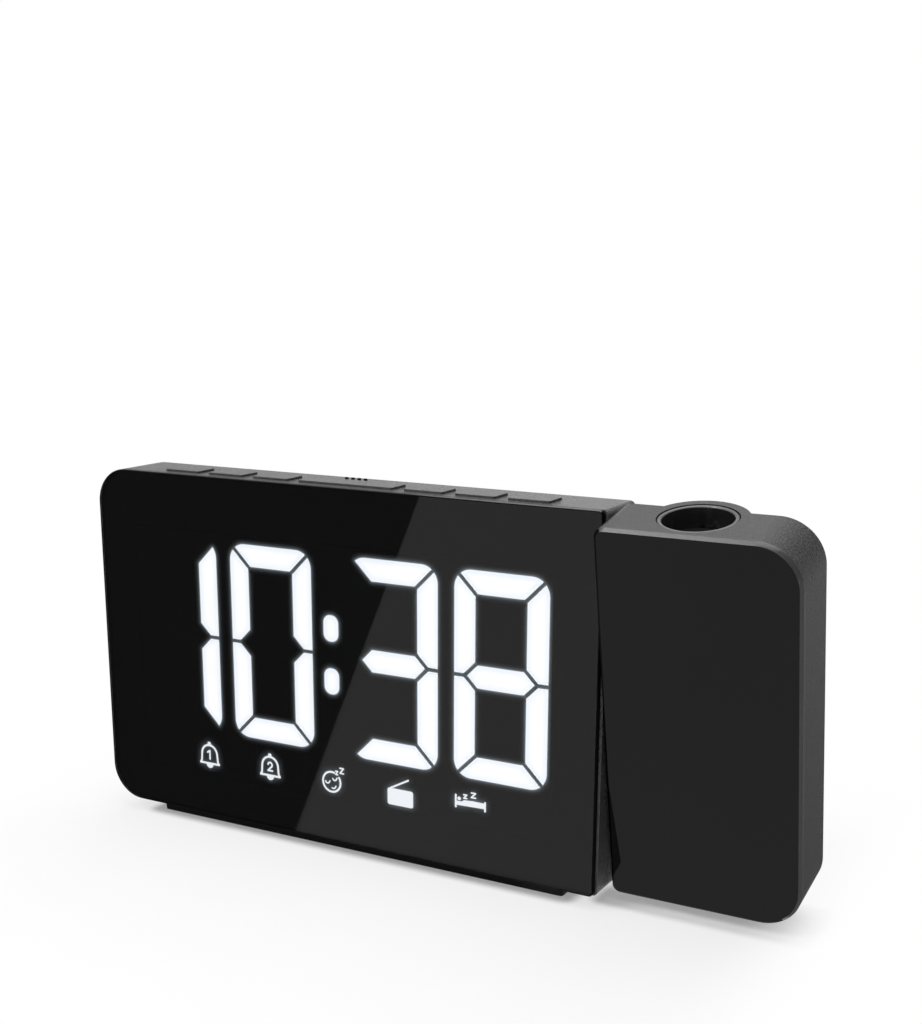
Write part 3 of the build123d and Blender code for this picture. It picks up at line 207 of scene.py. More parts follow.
def glowing(name, colour, rim_colour, strength, rim):
    """A lit diffuser: a slightly uneven glow, cooler within rim millimetres of its edges."""
    made, tree, out = material(name)
    shader = add(tree, "ShaderNodeBsdfPrincipled", {"Base Color": MILKY, "Roughness": MILKY_ROUGHNESS})
    coords = object_coords(tree)
    near_edge = sharp_edge_share(tree, rim * MM, flat=1.0, full=0.95)
    tree.links.new(tint(tree, near_edge, colour, rim_colour), shader.inputs["Emission Color"])
    dimmest, brightest = strength * (1 - CLOUD_SHARE), strength * (1 + CLOUD_SHARE)
    tree.links.new(spread(tree, noise(tree, coords, CLOUDS), *NOISE_SPAN, dimmest, brightest),
                   shader.inputs["Emission Strength"])
    finish_surface(tree, shader, out, noise(tree, coords, MILKY_GRAIN), MILKY_HEIGHT)
    return made


GLASS_IOR = 1.49
GLASS_PATCHES = 300.0
GLASS_GRAIN, GLASS_HEIGHT = 900.0, 0.002 * MM


def clear_part(name, colour, transmission, roughness):
    """Clear moulded plastic or glass, its roughness from the given one to twice that."""
    made, tree, out = material(name)
    shader = add(tree, "ShaderNodeBsdfPrincipled",
                 {"Base Color": (*colour, 1.0), "Transmission Weight": transmission, "IOR": GLASS_IOR})
    coords = object_coords(tree)
    tree.links.new(spread(tree, noise(tree, coords, GLASS_PATCHES), *NOISE_SPAN, roughness, roughness * 2),
                   shader.inputs["Roughness"])
    finish_surface(tree, shader, out, noise(tree, coords, GLASS_GRAIN), GLASS_HEIGHT)
    return made


# ---------------------------------------------------------------- materials
def grey(level):
    """A faintly cool grey."""
    return (level, level, level * 1.03)


COOL_WHITE = (0.84, 0.90, 0.985)
# The fine-textured plastic of the body. The arm's is a shade deeper, as painted shade for its top,
# which leans forward and catches less light, and the keys' grain finer.
# Its sharp edges take a lighter tint, a painted highlight.
CASE = dict(low=grey(0.014), high=grey(0.067), rough=(0.25, 0.31), grain=0.5, height=0.3,
            specular=1.0, edge_highlight=0.3, edge_highlight_tint=grey(0.11), speckle=0.8)
SHADED_ARM_CASE = {**CASE, "low": grey(0.005), "high": grey(0.042), "rough": (0.31, 0.37)}
KEY_CASE = {**CASE, "grain": 0.45, "height": 0.24}

# One look for each slot of the record.
looks = {
    "smoked_panel": surface("smoked_panel", grey(0.002), grey(0.003), (0.005, 0.009), grain=4.0,
                            height=0.0005, patch=80.0, alpha=0.5, specular=0.56),
    "case": surface("case_texture", **CASE),
    "arm_case": surface("arm_case_painted_shade", **SHADED_ARM_CASE),
    "key": surface("key_texture", **KEY_CASE),
    "arm_plate": surface("arm_plate_gloss", grey(0.002), grey(0.003), (0.02, 0.035), grain=4.0,
                         height=0.0005, patch=80.0, specular=0.235),
    "focus_ring": surface("focus_ring_satin", grey(0.014), grey(0.022), (0.22, 0.30), grain=0.6,
                          height=0.01, specular=0.8),
    "screw_steel": surface("screw_steel", (0.42, 0.42, 0.43), (0.55, 0.55, 0.56), (0.25, 0.4), grain=0.3,
                           height=0.005, patch=4.0, metallic=1.0),
    "foot_rubber": surface("foot_rubber", grey(0.005), grey(0.008), (0.55, 0.7), grain=0.6, height=0.04,
                           specular=0.15),
    "mask_black": surface("mask_black", grey(0.004), grey(0.006), (0.6, 0.7), grain=0.5, height=0.01,
                          specular=0.2),
    "lit_white": glowing("lit_white", (1.0, 1.0, 1.0), COOL_WHITE, strength=3.87, rim=2.6),
    "dark_diffuser": surface("dark_diffuser", grey(0.005), grey(0.007), (0.5, 0.6), grain=0.5,
                             height=0.01, specular=0.2),
    "circuit_board": surface("circuit_board", (0.015, 0.11, 0.045), (0.02, 0.14, 0.06), (0.3, 0.4),
                             grain=0.8, height=0.02, patch=6.0),
    "board_metal": surface("board_metal", (0.55, 0.55, 0.53), (0.68, 0.68, 0.66), (0.28, 0.4), grain=0.4,
                           height=0.006, patch=10.0, metallic=1.0),
    "chip_black": surface("chip_black", grey(0.02), grey(0.03), (0.5, 0.65), grain=0.3, height=0.01),
    "can_aluminium": surface("can_aluminium", (0.6, 0.6, 0.62), (0.74, 0.74, 0.76), (0.2, 0.32), grain=0.5,
                             height=0.004, patch=6.0, metallic=1.0),
    "magnet_grey": surface("magnet_grey", grey(0.07), grey(0.11), (0.45, 0.6), grain=0.6, height=0.03,
                           patch=8.0),
    "cone_paper": surface("cone_paper", grey(0.02), grey(0.035), (0.75, 0.9), grain=0.5, height=0.06,
                          patch=4.0, grain_detail=6.0),
    "contact_brass": surface("contact_brass", (0.66, 0.5, 0.2), (0.78, 0.62, 0.3), (0.22, 0.35), grain=0.5,
                             height=0.004, patch=6.0, metallic=1.0),
    "cell_steel": surface("cell_steel", (0.66, 0.66, 0.64), (0.78, 0.78, 0.76), (0.14, 0.22), grain=0.6,
                          height=0.003, patch=10.0, metallic=1.0),
    "socket_black": surface("socket_black", grey(0.014), grey(0.02), (0.35, 0.5), grain=0.4, height=0.01),
    "socket_steel": surface("socket_steel", (0.58, 0.58, 0.59), (0.7, 0.7, 0.71), (0.2, 0.32), grain=0.5,
                            height=0.005, patch=6.0, metallic=1.0),
    "bush_nylon": surface("bush_nylon", (0.72, 0.7, 0.62), (0.8, 0.78, 0.71), (0.4, 0.5), grain=0.5,
                          height=0.01, patch=5.0),
    "washer_fibre": surface("washer_fibre", (0.2, 0.09, 0.05), (0.28, 0.13, 0.08), (0.7, 0.85), grain=0.3,
                            height=0.04, patch=3.0),
    "axle_nylon": surface("axle_nylon", grey(0.025), grey(0.035), (0.35, 0.5), grain=0.5, height=0.01),
    "barrel_black": surface("barrel_black", grey(0.012), grey(0.018), (0.3, 0.4), grain=0.4, height=0.01),
    "lens_glass": clear_part("lens_glass", (0.96, 0.97, 0.98), transmission=1.0, roughness=0.01),
    "slide_glass": clear_part("slide_glass", (0.25, 0.25, 0.27), transmission=0.7, roughness=0.03),
    "led_red": surface("led_red", (0.45, 0.02, 0.015), (0.55, 0.03, 0.02), (0.1, 0.2), grain=0.5,
                       height=0.004, patch=3.0),
}
for name, cad_node in nodes.items():
    cad_node.data.materials.clear()
    cad_node.data.materials.append(looks[slot_of[name]])

# More looks, for single faces of the pieces that follow and for the indicators.
panel_chamfer = surface("panel_chamfer", grey(0.003), grey(0.004), (0.05, 0.07), grain=2.0, height=0.0005,
                        specular=1.0)
# Matte black that paints shade: the front panel's edge band and its faces turned to the arm and to the floor,
# and the arm plate's bevels beside the body and below.
painted_shade_black = surface("painted_shade_black", grey(0.002), grey(0.003), (0.5, 0.6), grain=0.5, height=0.005,
                       specular=0.05)
arm_bevel = surface("arm_bevel", grey(0.045), grey(0.055), (0.30, 0.36), grain=0.8, height=0.04,
                    specular=1.0)
# A paler satin that paints a highlight on the focus ring's faces that look upwards.
ring_painted_highlight = surface("ring_painted_highlight", grey(0.12), grey(0.15), (0.25, 0.32), grain=0.6, height=0.01, specular=1.0)
icon_light = glowing("icon_light", (0.93, 0.96, 1.0), COOL_WHITE, strength=3.5, rim=0.4)


# ---------------------------------------------------------------- pieces
def piece(name, mesh, look):
    """A new object of the scene with one look."""
    data = bpy.data.meshes.new(name)
    mesh.to_mesh(data)
    mesh.free()
    data.materials.append(look)
    made = bpy.data.objects.new(name, data)
    bpy.context.scene.collection.objects.link(made)
    return made


def dressed(node, name, body, looks_used, choose, mesh):
    """A piece that stands for a CAD node, with a look for each face chosen from the way it faces."""
    mesh.normal_update()
    for face in mesh.faces:
        face.material_index = choose(face.normal, face.material_index)
    made = piece(name, mesh, looks_used[0])
    for look in looks_used[1:]:
        made.data.materials.append(look)
    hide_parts(node)
    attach(made, body)


WELD = 0.001 * MM


def skin(node):
    """A CAD node's own shape with its vertices joined."""
    mesh = bmesh.new()
    mesh.from_mesh(nodes[node].data)
    bmesh.ops.remove_doubles(mesh, verts=mesh.verts, dist=WELD)
    return mesh


def band(mesh, first, second):
    """Faces between two rings of as many vertices."""
    for i in range(len(first)):
        j = (i + 1) % len(first)
        mesh.faces.new((first[i], first[j], second[j], second[i]))


def drop_loose(mesh):
    """Takes out the vertices that no face uses."""
    loose = [vertex for vertex in mesh.verts if not vertex.link_faces]
    bmesh.ops.delete(mesh, geom=loose, context="VERTS")


# ---------------------------------------------------------------- front panel, arm's plate, focus ring
# A face's look hangs on the parts of its normal, which lie between -1 and 1.
FLAT = 0.99

# The clear panel's back stays a hair's breadth in front of the black frame that it is bonded to,
# and a thin band of matte black, painted shade for a shadowed gap, runs round its face. Its right
# side, which faces the arm, and its underside are matte black too, as painted shade.
BOND_GAP = 0.02 * MM
SHADE_BAND = 0.2 * MM
PANEL_RIGHT, PANEL_BELOW, PANEL_UPRIGHT = 0.5, -0.3, 0.1
CLEAR, CHAMFER, PANEL_SIDE, PAINTED_SHADE = range(4)
panel_mesh = skin("front_panel")
panel_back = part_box("front_panel")[1].y - BOND_GAP
for vertex in panel_mesh.verts:
    vertex.co.y = min(vertex.co.y, panel_back)
panel_mesh.normal_update()
front_faces = [face for face in panel_mesh.faces if face.normal.y < -FLAT]
rim = bmesh.ops.inset_region(panel_mesh, faces=front_faces, thickness=SHADE_BAND, use_even_offset=True)
for face in rim["faces"]:
    face.material_index = PAINTED_SHADE


def panel_look(normal, given):
    if given == PAINTED_SHADE:
        return PAINTED_SHADE
    if abs(normal.y) > FLAT:
        return CLEAR
    if normal.x > PANEL_RIGHT or normal.z < PANEL_BELOW:
        return PAINTED_SHADE
    return PANEL_SIDE if abs(normal.y) < PANEL_UPRIGHT else CHAMFER


dressed("front_panel", "smoked_front", "clock",
        (looks["smoked_panel"], panel_chamfer, looks["case"], painted_shade_black), panel_look, panel_mesh)

# The arm's plate has a satin bevel along its top and free side, and black ones beside the body
# and below, painted shade where the bevel faces the body and the floor. A normal counts as one of
# the first two when both of its parts are over these.
TOP_LEAST_X, TOP_LEAST_Z = -0.35, 0.2
FREE_LEAST_X, FREE_LEAST_Z = 0.2, -0.7
PLATE_GLOSS, PLATE_SATIN, PLATE_SHADE = range(3)
plate_mesh = skin("projector_plate")
plate_mesh.normal_update()
plate_normal = max(plate_mesh.faces, key=lambda face: face.calc_area()).normal.copy()


def plate_look(normal, given):
    if abs(normal.dot(plate_normal)) > FLAT:
        return PLATE_GLOSS
    top = normal.x > TOP_LEAST_X and normal.z > TOP_LEAST_Z
    free_side = normal.x > FREE_LEAST_X and normal.z > FREE_LEAST_Z
    return PLATE_SATIN if top or free_side else PLATE_SHADE


dressed("projector_plate", "arm_front", "projector",
        (looks["arm_plate"], arm_bevel, painted_shade_black), plate_look, plate_mesh)

# The focus ring's rim, which looks upwards, is a paler satin than the rest of it, a painted highlight.
HIGHLIGHT_LEAST = 0.3


def ring_look(normal, given):
    return int(normal.z > HIGHLIGHT_LEAST)


dressed("focus_ring", "ring_dressed", "focus",
        (looks["focus_ring"], ring_painted_highlight), ring_look, skin("focus_ring"))


# ---------------------------------------------------------------- flat shapes in the display
# What delaunay_2d_cdt hands back, and the distance within which it joins points.
INNER_TRIANGLES = 1
JOIN_WITHIN = 1e-7


def union_prism(name, shapes, front, back, look):
    """One prism, from y front to y back, over the joined outlines of (x, z) polygons in metres."""
    points, faces = [], []
    for shape in shapes:
        faces.append(list(range(len(points), len(points) + len(shape))))
        points += [Vector(point) for point in shape]
    spots, _, triangles, _, _, sources = delaunay_2d_cdt(points, [], faces, INNER_TRIANGLES, JOIN_WITHIN)
    mesh = bmesh.new()
    rows = [[mesh.verts.new((spot.x, y, spot.y)) for spot in spots] for y in (front, back)]
    sides = {}
    for triangle, source in zip(triangles, sources):
        if not source:
            continue
        mesh.faces.new([rows[0][i] for i in triangle])
        mesh.faces.new([rows[1][i] for i in reversed(triangle)])
        for i, j in zip(triangle, triangle[1:] + triangle[:1]):
            if (j, i) in sides:
                del sides[(j, i)]
            else:
                sides[(i, j)] = True
    for i, j in sides:
        mesh.faces.new((rows[0][j], rows[0][i], rows[1][i], rows[1][j]))
    drop_loose(mesh)
    bmesh.ops.recalc_face_normals(mesh, faces=mesh.faces)
    return piece(name, mesh, look)


def disc(centre, radius, count=20):
    """Points of a circle."""
    return [(centre[0] + radius * cos(2 * pi * i / count), centre[1] + radius * sin(2 * pi * i / count))
            for i in range(count)]


def arc(centre, radii, start, end, count=16):
    """Points of an ellipse from one angle to another, in degrees."""
    angles = [radians(start + (end - start) * i / count) for i in range(count + 1)]
    return [(centre[0] + radii[0] * cos(a), centre[1] + radii[1] * sin(a)) for a in angles]


def stroke(path, width):
    """Polygons that together cover a round-ended line of the given width along the path."""
    made = []
    for (x0, z0), (x1, z1) in zip(path, path[1:]):
        along = Vector((x1 - x0, z1 - z0)).normalized() * width / 2
        across = Vector((-along.y, along.x))
        made.append([(x0 - across.x, z0 - across.y), (x1 - across.x, z1 - across.y),
                     (x1 + across.x, z1 + across.y), (x0 + across.x, z0 + across.y)])
    return made + [disc(point, width / 2) for point in path]


# An indicator is a list of lines and areas in millimetres about the middle of its window.
def line(path, width):
    return ("line", path, width)


def area(outline):
    return ("area", outline, 0.0)


def outlines(shapes, centre):
    """Polygons, in metres about a point of the display, that together cover lines and areas."""
    flat = []
    for kind, points, width in shapes:
        flat += [points] if kind == "area" else stroke(points, width)
    return [[(centre[0] + x * MM, centre[1] + z * MM) for x, z in shape] for shape in flat]


def covers(shape, spot):
    """Whether a line or an area covers a spot, in millimetres."""
    kind, points, width = shape
    if kind == "area":
        inside = False
        for (x0, z0), (x1, z1) in zip(points, points[1:] + points[:1]):
            if (z0 > spot.y) != (z1 > spot.y) and spot.x < x0 + (spot.y - z0) / (z1 - z0) * (x1 - x0):
                inside = not inside
        return inside
    if len(points) == 1:
        return (Vector(points[0]) - spot).length < width / 2
    for first, second in zip(points, points[1:]):
        start, along = Vector(first), Vector(second) - Vector(first)
        share = min(max((spot - start).dot(along) / along.length_squared, 0.0), 1.0)
        if (start + along * share - spot).length < width / 2:
            return True
    return False


# ---------------------------------------------------------------- indicators
# Widths of the indicators' lines.
BELL_LINE = 0.54
NUMERAL_LINE = 0.46
FACE_LINE = 0.5
POST_LINE = 0.5
AERIAL_LINE = 0.45
FINE_LINE = 0.36
HEAD_WIDTH = 0.95

ONE = [(-0.65, 0.85), (0.1, 1.35), (0.1, -0.95)]
TWO = arc((0.0, 0.68), (0.64, 0.66), 170, -35, 8) + [(-0.68, -0.85), (0.7, -0.85)]


def bell(numeral):
    dome = arc((0, 0.35), (2.46, 2.5), 180, 0, 16)
    outline = [(-3.0, -2.15), (-2.6, -1.5)] + dome + [(2.6, -1.5), (3.0, -2.15), (-3.0, -2.15)]
    knob = area([(0.62, 2.7), (0.42, 3.7), (-0.42, 3.7), (-0.62, 2.7)])
    clapper = area(arc((0, -2.35), (1.1, 1.05), 180, 360, 10))
    return [line(outline, BELL_LINE), knob, clapper, line(numeral, NUMERAL_LINE)]


def letter_z(centre, width, height):
    x, z = centre
    left, right, low, high = x - width / 2, x + width / 2, z - height / 2, z + height / 2
    return line([(left, high), (right, high), (left, low), (right, low)], FINE_LINE)


def sleeping_face():
    face = line(arc((-0.57, -0.57), (2.6, 2.6), 72, 393, 40), FACE_LINE)
    left_eye = line([(-2.4, -0.62), (-2.2, -0.98), (-1.75, -1.1), (-1.35, -0.88), (-1.12, -0.45)], FINE_LINE)
    right_eye = line([(-0.25, 0.35), (0.0, -0.02), (0.4, -0.1), (0.8, 0.15), (1.02, 0.65)], FINE_LINE)
    mouth = line([(-0.45, -2.15), (0.05, -2.25), (0.45, -2.0), (0.65, -1.55)], FINE_LINE)
    letters = [letter_z((0.95, 2.0), 0.62, 0.85), letter_z((2.45, 2.75), 1.05, 1.3)]
    return [face, left_eye, right_eye, mouth] + letters


def radio():
    half, low, high, corner = 3.6, -3.35, 0.9, 0.55
    outline = []
    for x, z, start in ((half - corner, low + corner, -90), (half - corner, high - corner, 0),
                        (-half + corner, high - corner, 90), (-half + corner, low + corner, 180)):
        outline += arc((x, z), (corner, corner), start, start + 90, 5)
    return [area(outline), line([(-2.75, 0.9), (2.25, 3.6)], AERIAL_LINE)]


def bed():
    posts = [line([(-3.95, 2.4), (-3.95, -0.55)], POST_LINE), line([(3.9, 1.7), (3.9, -0.4)], POST_LINE)]
    cover = area([(-3.95, -0.08), (3.9, 0.14), (3.9, 1.5), (0.5, 1.55), (-1.7, 1.4), (-2.4, 0.95),
                  (-3.95, 0.95)])
    head = line([(-3.05, 1.62)], HEAD_WIDTH)
    return posts + [cover, head, letter_z((-1.4, 2.35), 0.8, 0.85), letter_z((0.8, 3.0), 1.15, 1.15)]


ICONS = (("icon_alarm_one", bell(ONE)), ("icon_alarm_two", bell(TWO)), ("icon_sleep", sleeping_face()),
         ("icon_radio", radio()), ("icon_snooze", bed()))
ICON_THICKNESS = 0.03 * MM


def islands(node):
    """The separate solids of a CAD node, each as a list of its corners."""
    mesh = skin(node)
    seen, found = set(), []
    for start in mesh.verts:
        if start in seen:
            continue
        seen.add(start)
        waiting, group = [start], []
        while waiting:
            vertex = waiting.pop()
            group.append(vertex.co.copy())
            for edge in vertex.link_edges:
                other = edge.other_vert(vertex)
                if other not in seen:
                    seen.add(other)
                    waiting.append(other)
        found.append(group)
    mesh.free()
    return found


# Each window of the display carries one indicator.
windows = []
for corners in islands("indicator_windows"):
    windows.append(sum((Vector((c.x, c.z)) for c in corners), Vector((0, 0))) / len(corners))
windows.sort(key=lambda centre: centre.x)
window_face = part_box("indicator_windows")[0].y
for centre, (name, shapes) in zip(windows, ICONS):
    icon = union_prism(name, outlines(shapes, centre), window_face - ICON_THICKNESS, window_face, icon_light)
    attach(icon, "clock")

# ---------------------------------------------------------------- glow round the lit segments
# Rings round each lit shape, closer together near it, with a level of light that falls off outwards.
GLOW_REACH = 1.6 * MM
GLOW_FALL = 0.30 * MM
GLOW_STEPS = 10
GLOW_CROWDING = 1.6
GLOW_LIFT = 0.012 * MM
CORNER_POINTS = 3
FRONT_WITHIN = 0.01 * MM
glow_mesh = bmesh.new()
glow_layer = glow_mesh.verts.layers.float.new("glow")
glow_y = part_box("lit_segments")[0].y - GLOW_LIFT


def glow_vertex(x, y, z, level):
    """A new corner of the glow's mesh with its level of light."""
    made = glow_mesh.verts.new((x, y, z))
    made[glow_layer] = level
    return made


def widened(hull, out):
    """A convex outline moved outwards, with its corners rounded."""
    ring = []
    for i, point in enumerate(hull):
        before = (point - hull[i - 1]).normalized()
        after = (hull[(i + 1) % len(hull)] - point).normalized()
        first = atan2(-before.x, before.y)
        second = atan2(-after.x, after.y)
        while second < first:
            second += 2 * pi
        for k in range(CORNER_POINTS):
            angle = first + (second - first) * k / (CORNER_POINTS - 1)
            ring.append((point.x + out * cos(angle), point.y + out * sin(angle)))
    return ring


for node in ("lit_segments", "colon_dots"):
    for corners in islands(node):
        front = min(c.y for c in corners)
        flat = [Vector((c.x, c.z)) for c in corners if c.y < front + FRONT_WITHIN]
        hull = [flat[i] for i in convex_hull_2d(flat)]
        rings = []
        for step in range(GLOW_STEPS + 1):
            out = GLOW_REACH * (step / GLOW_STEPS) ** GLOW_CROWDING
            rings.append([glow_vertex(x, glow_y, z, exp(-out / GLOW_FALL)) for x, z in widened(hull, out)])
        for inner, outer in zip(rings, rings[1:]):
            band(glow_mesh, inner, outer)

# Light from each indicator's lines, spread over a grid of cells round it, in millimetres. Each lit
# cell lights those up to HALO_REACH cells away, and cells under HALO_LEAST are left out.
HALO_CELL = 0.3
HALO_HALF = 5.1
HALO_FALL = 0.4
HALO_LEVEL = 0.8
HALO_LEAST = 0.004
HALO_REACH = 6
HALO_LIFT = 0.02 * MM
halo_count = round(2 * HALO_HALF / HALO_CELL)
halo_span = range(-HALO_REACH, HALO_REACH + 1)
halo_share = HALO_LEVEL * HALO_CELL ** 2 / (2 * pi * HALO_FALL ** 2)
halo_kernel = [(i, j, halo_share * exp(-HALO_CELL * (i * i + j * j) ** 0.5 / HALO_FALL))
               for i in halo_span for j in halo_span]
halo_y = window_face - HALO_LIFT


def halo_place(index):
    return -HALO_HALF + index * HALO_CELL


for centre, (name, shapes) in zip(windows, ICONS):
    levels = {}
    for i in range(halo_count + 1):
        for j in range(halo_count + 1):
            spot = Vector((halo_place(i), halo_place(j)))
            if any(covers(shape, spot) for shape in shapes):
                for di, dj, level in halo_kernel:
                    levels[(i + di, j + dj)] = levels.get((i + di, j + dj), 0.0) + level
    made = {(i, j): glow_vertex(centre.x + halo_place(i) * MM, halo_y, centre.y + halo_place(j) * MM, level)
            for (i, j), level in levels.items()}
    for i, j in levels:
        corners = [(i, j), (i + 1, j), (i + 1, j + 1), (i, j + 1)]
        if all(corner in made for corner in corners) and max(levels[c] for c in corners) > HALO_LEAST:
            glow_mesh.faces.new([made[corner] for corner in corners])
drop_loose(glow_mesh)

GLOW_COLOUR = (0.8, 0.92, 1.0, 1.0)
GLOW_CLOUDS = 400.0
GLOW_CLOUD_SPAN = (0.9, 1.1)


def glow_material(name):
    """Light added to what lies behind, as strong as the mesh's own level says."""
    made, tree, out = material(name)
    level = add(tree, "ShaderNodeAttribute", attribute_name="glow")
    cloud = spread(tree, noise(tree, object_coords(tree), GLOW_CLOUDS), *NOISE_SPAN, *GLOW_CLOUD_SPAN)
    light = add(tree, "ShaderNodeEmission", {"Color": GLOW_COLOUR})
    tree.links.new(math_node(tree, "MULTIPLY", level.outputs["Fac"], cloud), light.inputs["Strength"])
    clear = add(tree, "ShaderNodeBsdfTransparent")
    both = add(tree, "ShaderNodeAddShader")
    tree.links.new(light.outputs[0], both.inputs[0])
    tree.links.new(clear.outputs[0], both.inputs[1])
    tree.links.new(both.outputs[0], out.inputs["Surface"])
    return made


glow = piece("display_glow", glow_mesh, glow_material("display_glow"))
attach(glow, "clock")

# ---------------------------------------------------------------- dark caps on the pips behind the long key
PIP_COUNT = 4
PIP_RADIUS = 0.46 * MM
PIP_HEIGHT = 0.7 * MM
PIP_ROUND = 0.12 * MM
PIP_SINK = 0.45 * MM
PIP_SIDES = 24
TOP_WITHIN = 0.01 * MM
housing_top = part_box("main_housing")[1].z
pip_tops = [v.co for v in nodes["main_housing"].data.vertices if v.co.z > housing_top - TOP_WITHIN]
pip_left, pip_right = min(c.x for c in pip_tops), max(c.x for c in pip_tops)
pip_near, pip_back = min(c.y for c in pip_tops), max(c.y for c in pip_tops)
pip_width = pip_back - pip_near
pip_step = (pip_right - pip_left - pip_width) / (PIP_COUNT - 1)
pip_foot = housing_top - PIP_SINK
pip_rings = ((PIP_RADIUS, pip_foot), (PIP_RADIUS, pip_foot + PIP_HEIGHT - PIP_ROUND),
             (PIP_RADIUS - PIP_ROUND, pip_foot + PIP_HEIGHT))
pip_mesh = bmesh.new()
for place in range(PIP_COUNT):
    middle = (pip_left + pip_width / 2 + place * pip_step, (pip_near + pip_back) / 2)
    rings = [[pip_mesh.verts.new((x, y, z)) for x, y in disc(middle, radius, PIP_SIDES)]
             for radius, z in pip_rings]
    for lower, upper in zip(rings, rings[1:]):
        band(pip_mesh, lower, upper)
    pip_mesh.faces.new(rings[-1])
    pip_mesh.faces.new(rings[0][::-1])
pips = piece("pip_caps", pip_mesh, looks["foot_rubber"])
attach(pips, "clock")

# ---------------------------------------------------------------- floor
FLOOR_HALF = 8.0
FLOOR_DROP = 0.02 * MM
PAPER = ((0.93, 0.93, 0.93), (0.95, 0.95, 0.95))
PAPER_PATCHES = 40.0
WHITE = (1.0, 1.0, 1.0, 1.0)

# What the floor shows in gloss, as levels of brightness. In front of the clock a line, given by a
# point and a normal, parts a dark stretch from a pale one, and both are darker beyond the arm.
# Under the arm, whose plate leans back, the stretch in front reaches further.
EDGE_POINT = (-17.6 * MM, -17.3 * MM)
EDGE_NORMAL = (0.8905, -0.4550)
EDGE_BLUR = 0.4 * MM
FRONT_GLOSS = (0.11, 0.75)
BEYOND_SPAN, BEYOND_SHARE = (120 * MM, 135 * MM), 0.35
UNDER_ARM_LEFT, UNDER_ARM_RIGHT = (50 * MM, 55 * MM), (112 * MM, 116 * MM)
UNDER_ARM_REACH = 40 * MM
BEHIND_SPAN = (-12 * MM, -8 * MM)
BACK_SPAN, BACK_GLOSS = (30 * MM, 500 * MM), (0.23, 0.46)

# To the camera the floor turns to the white of the backdrop away from the object: in part by its
# distance from the foot and the arm, and wholly by its distance from the clock, past the arm's free
# side and behind the hump, up to one y.
CONTACT_SPAN, CONTACT_WHITE = (1.0 * MM, 4.8 * MM), (0.26, 0.70)
ARM_NEAR = 0.0
AWAY_SPAN = (80 * MM, 350 * MM)
PAST_ARM_SPAN = (-16 * MM, 10 * MM)
WHITE_FROM_Y = 150 * MM


def outside(tree, value, low, high):
    """How far a coordinate lies outside a span."""
    below = math_node(tree, "SUBTRACT", low, value)
    above = math_node(tree, "SUBTRACT", value, high)
    return math_node(tree, "MAXIMUM", math_node(tree, "MAXIMUM", below, above), 0.0)


def away_from(tree, place, low, high):
    """Distance along the floor from the rectangle between two corners."""
    squares = []
    for value, least, most in zip(place, low, high):
        off = outside(tree, value, least, most)
        squares.append(math_node(tree, "MULTIPLY", off, off))
    return math_node(tree, "SQRT", math_node(tree, "ADD", *squares))


def floor_gloss(tree, x, y):
    """How bright the floor is in gloss."""
    calc, span = partial(math_node, tree), partial(spread, tree)
    offsets = [calc("MULTIPLY", calc("SUBTRACT", value, start), share)
               for value, start, share in zip((x, y), EDGE_POINT, EDGE_NORMAL)]
    pale_side = span(calc("ADD", *offsets), -EDGE_BLUR, EDGE_BLUR)
    under_arm = calc("MULTIPLY", span(x, *UNDER_ARM_LEFT), span(x, *UNDER_ARM_RIGHT, 1.0, 0.0))
    behind = span(calc("SUBTRACT", y, calc("MULTIPLY", under_arm, UNDER_ARM_REACH)), *BEHIND_SPAN)
    in_front = calc("MULTIPLY", span(pale_side, 0.0, 1.0, *FRONT_GLOSS),
                    span(x, *BEYOND_SPAN, 1.0, BEYOND_SHARE))
    return blend(tree, behind, in_front, span(y, *BACK_SPAN, *BACK_GLOSS))


def floor_white(tree, x, y):
    """How far the floor takes the backdrop's white."""
    highest, soft = partial(math_node, tree, "MAXIMUM"), partial(eased, tree)
    foot_low, foot_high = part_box("front_foot")
    arm_low, arm_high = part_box("projector_shell")
    hump_low, hump_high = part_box("rear_cover")
    contact = math_node(tree, "MINIMUM", away_from(tree, (x, y), foot_low, foot_high),
                        away_from(tree, (x, y), (arm_low.x, ARM_NEAR), (arm_high.x, arm_high.y)))
    near_white = spread(tree, soft(contact, *CONTACT_SPAN), 0.0, 1.0, *CONTACT_WHITE)
    away = away_from(tree, (x, y), (hump_low.x, foot_low.y), (arm_high.x, hump_high.y))
    past_arm = soft(x, *(arm_high.x + reach for reach in PAST_ARM_SPAN))
    open_floor = highest(soft(away, *AWAY_SPAN), highest(past_arm, soft(y, hump_high.y, WHITE_FROM_Y)))
    return blend(tree, open_floor, near_white, 1.0)


def mixed(tree, share, first, second):
    """Two shaders mixed by a share."""
    made = add(tree, "ShaderNodeMixShader")
    for index, source in enumerate((share, first.outputs[0], second.outputs[0])):
        tree.links.new(source, made.inputs[index])
    return made


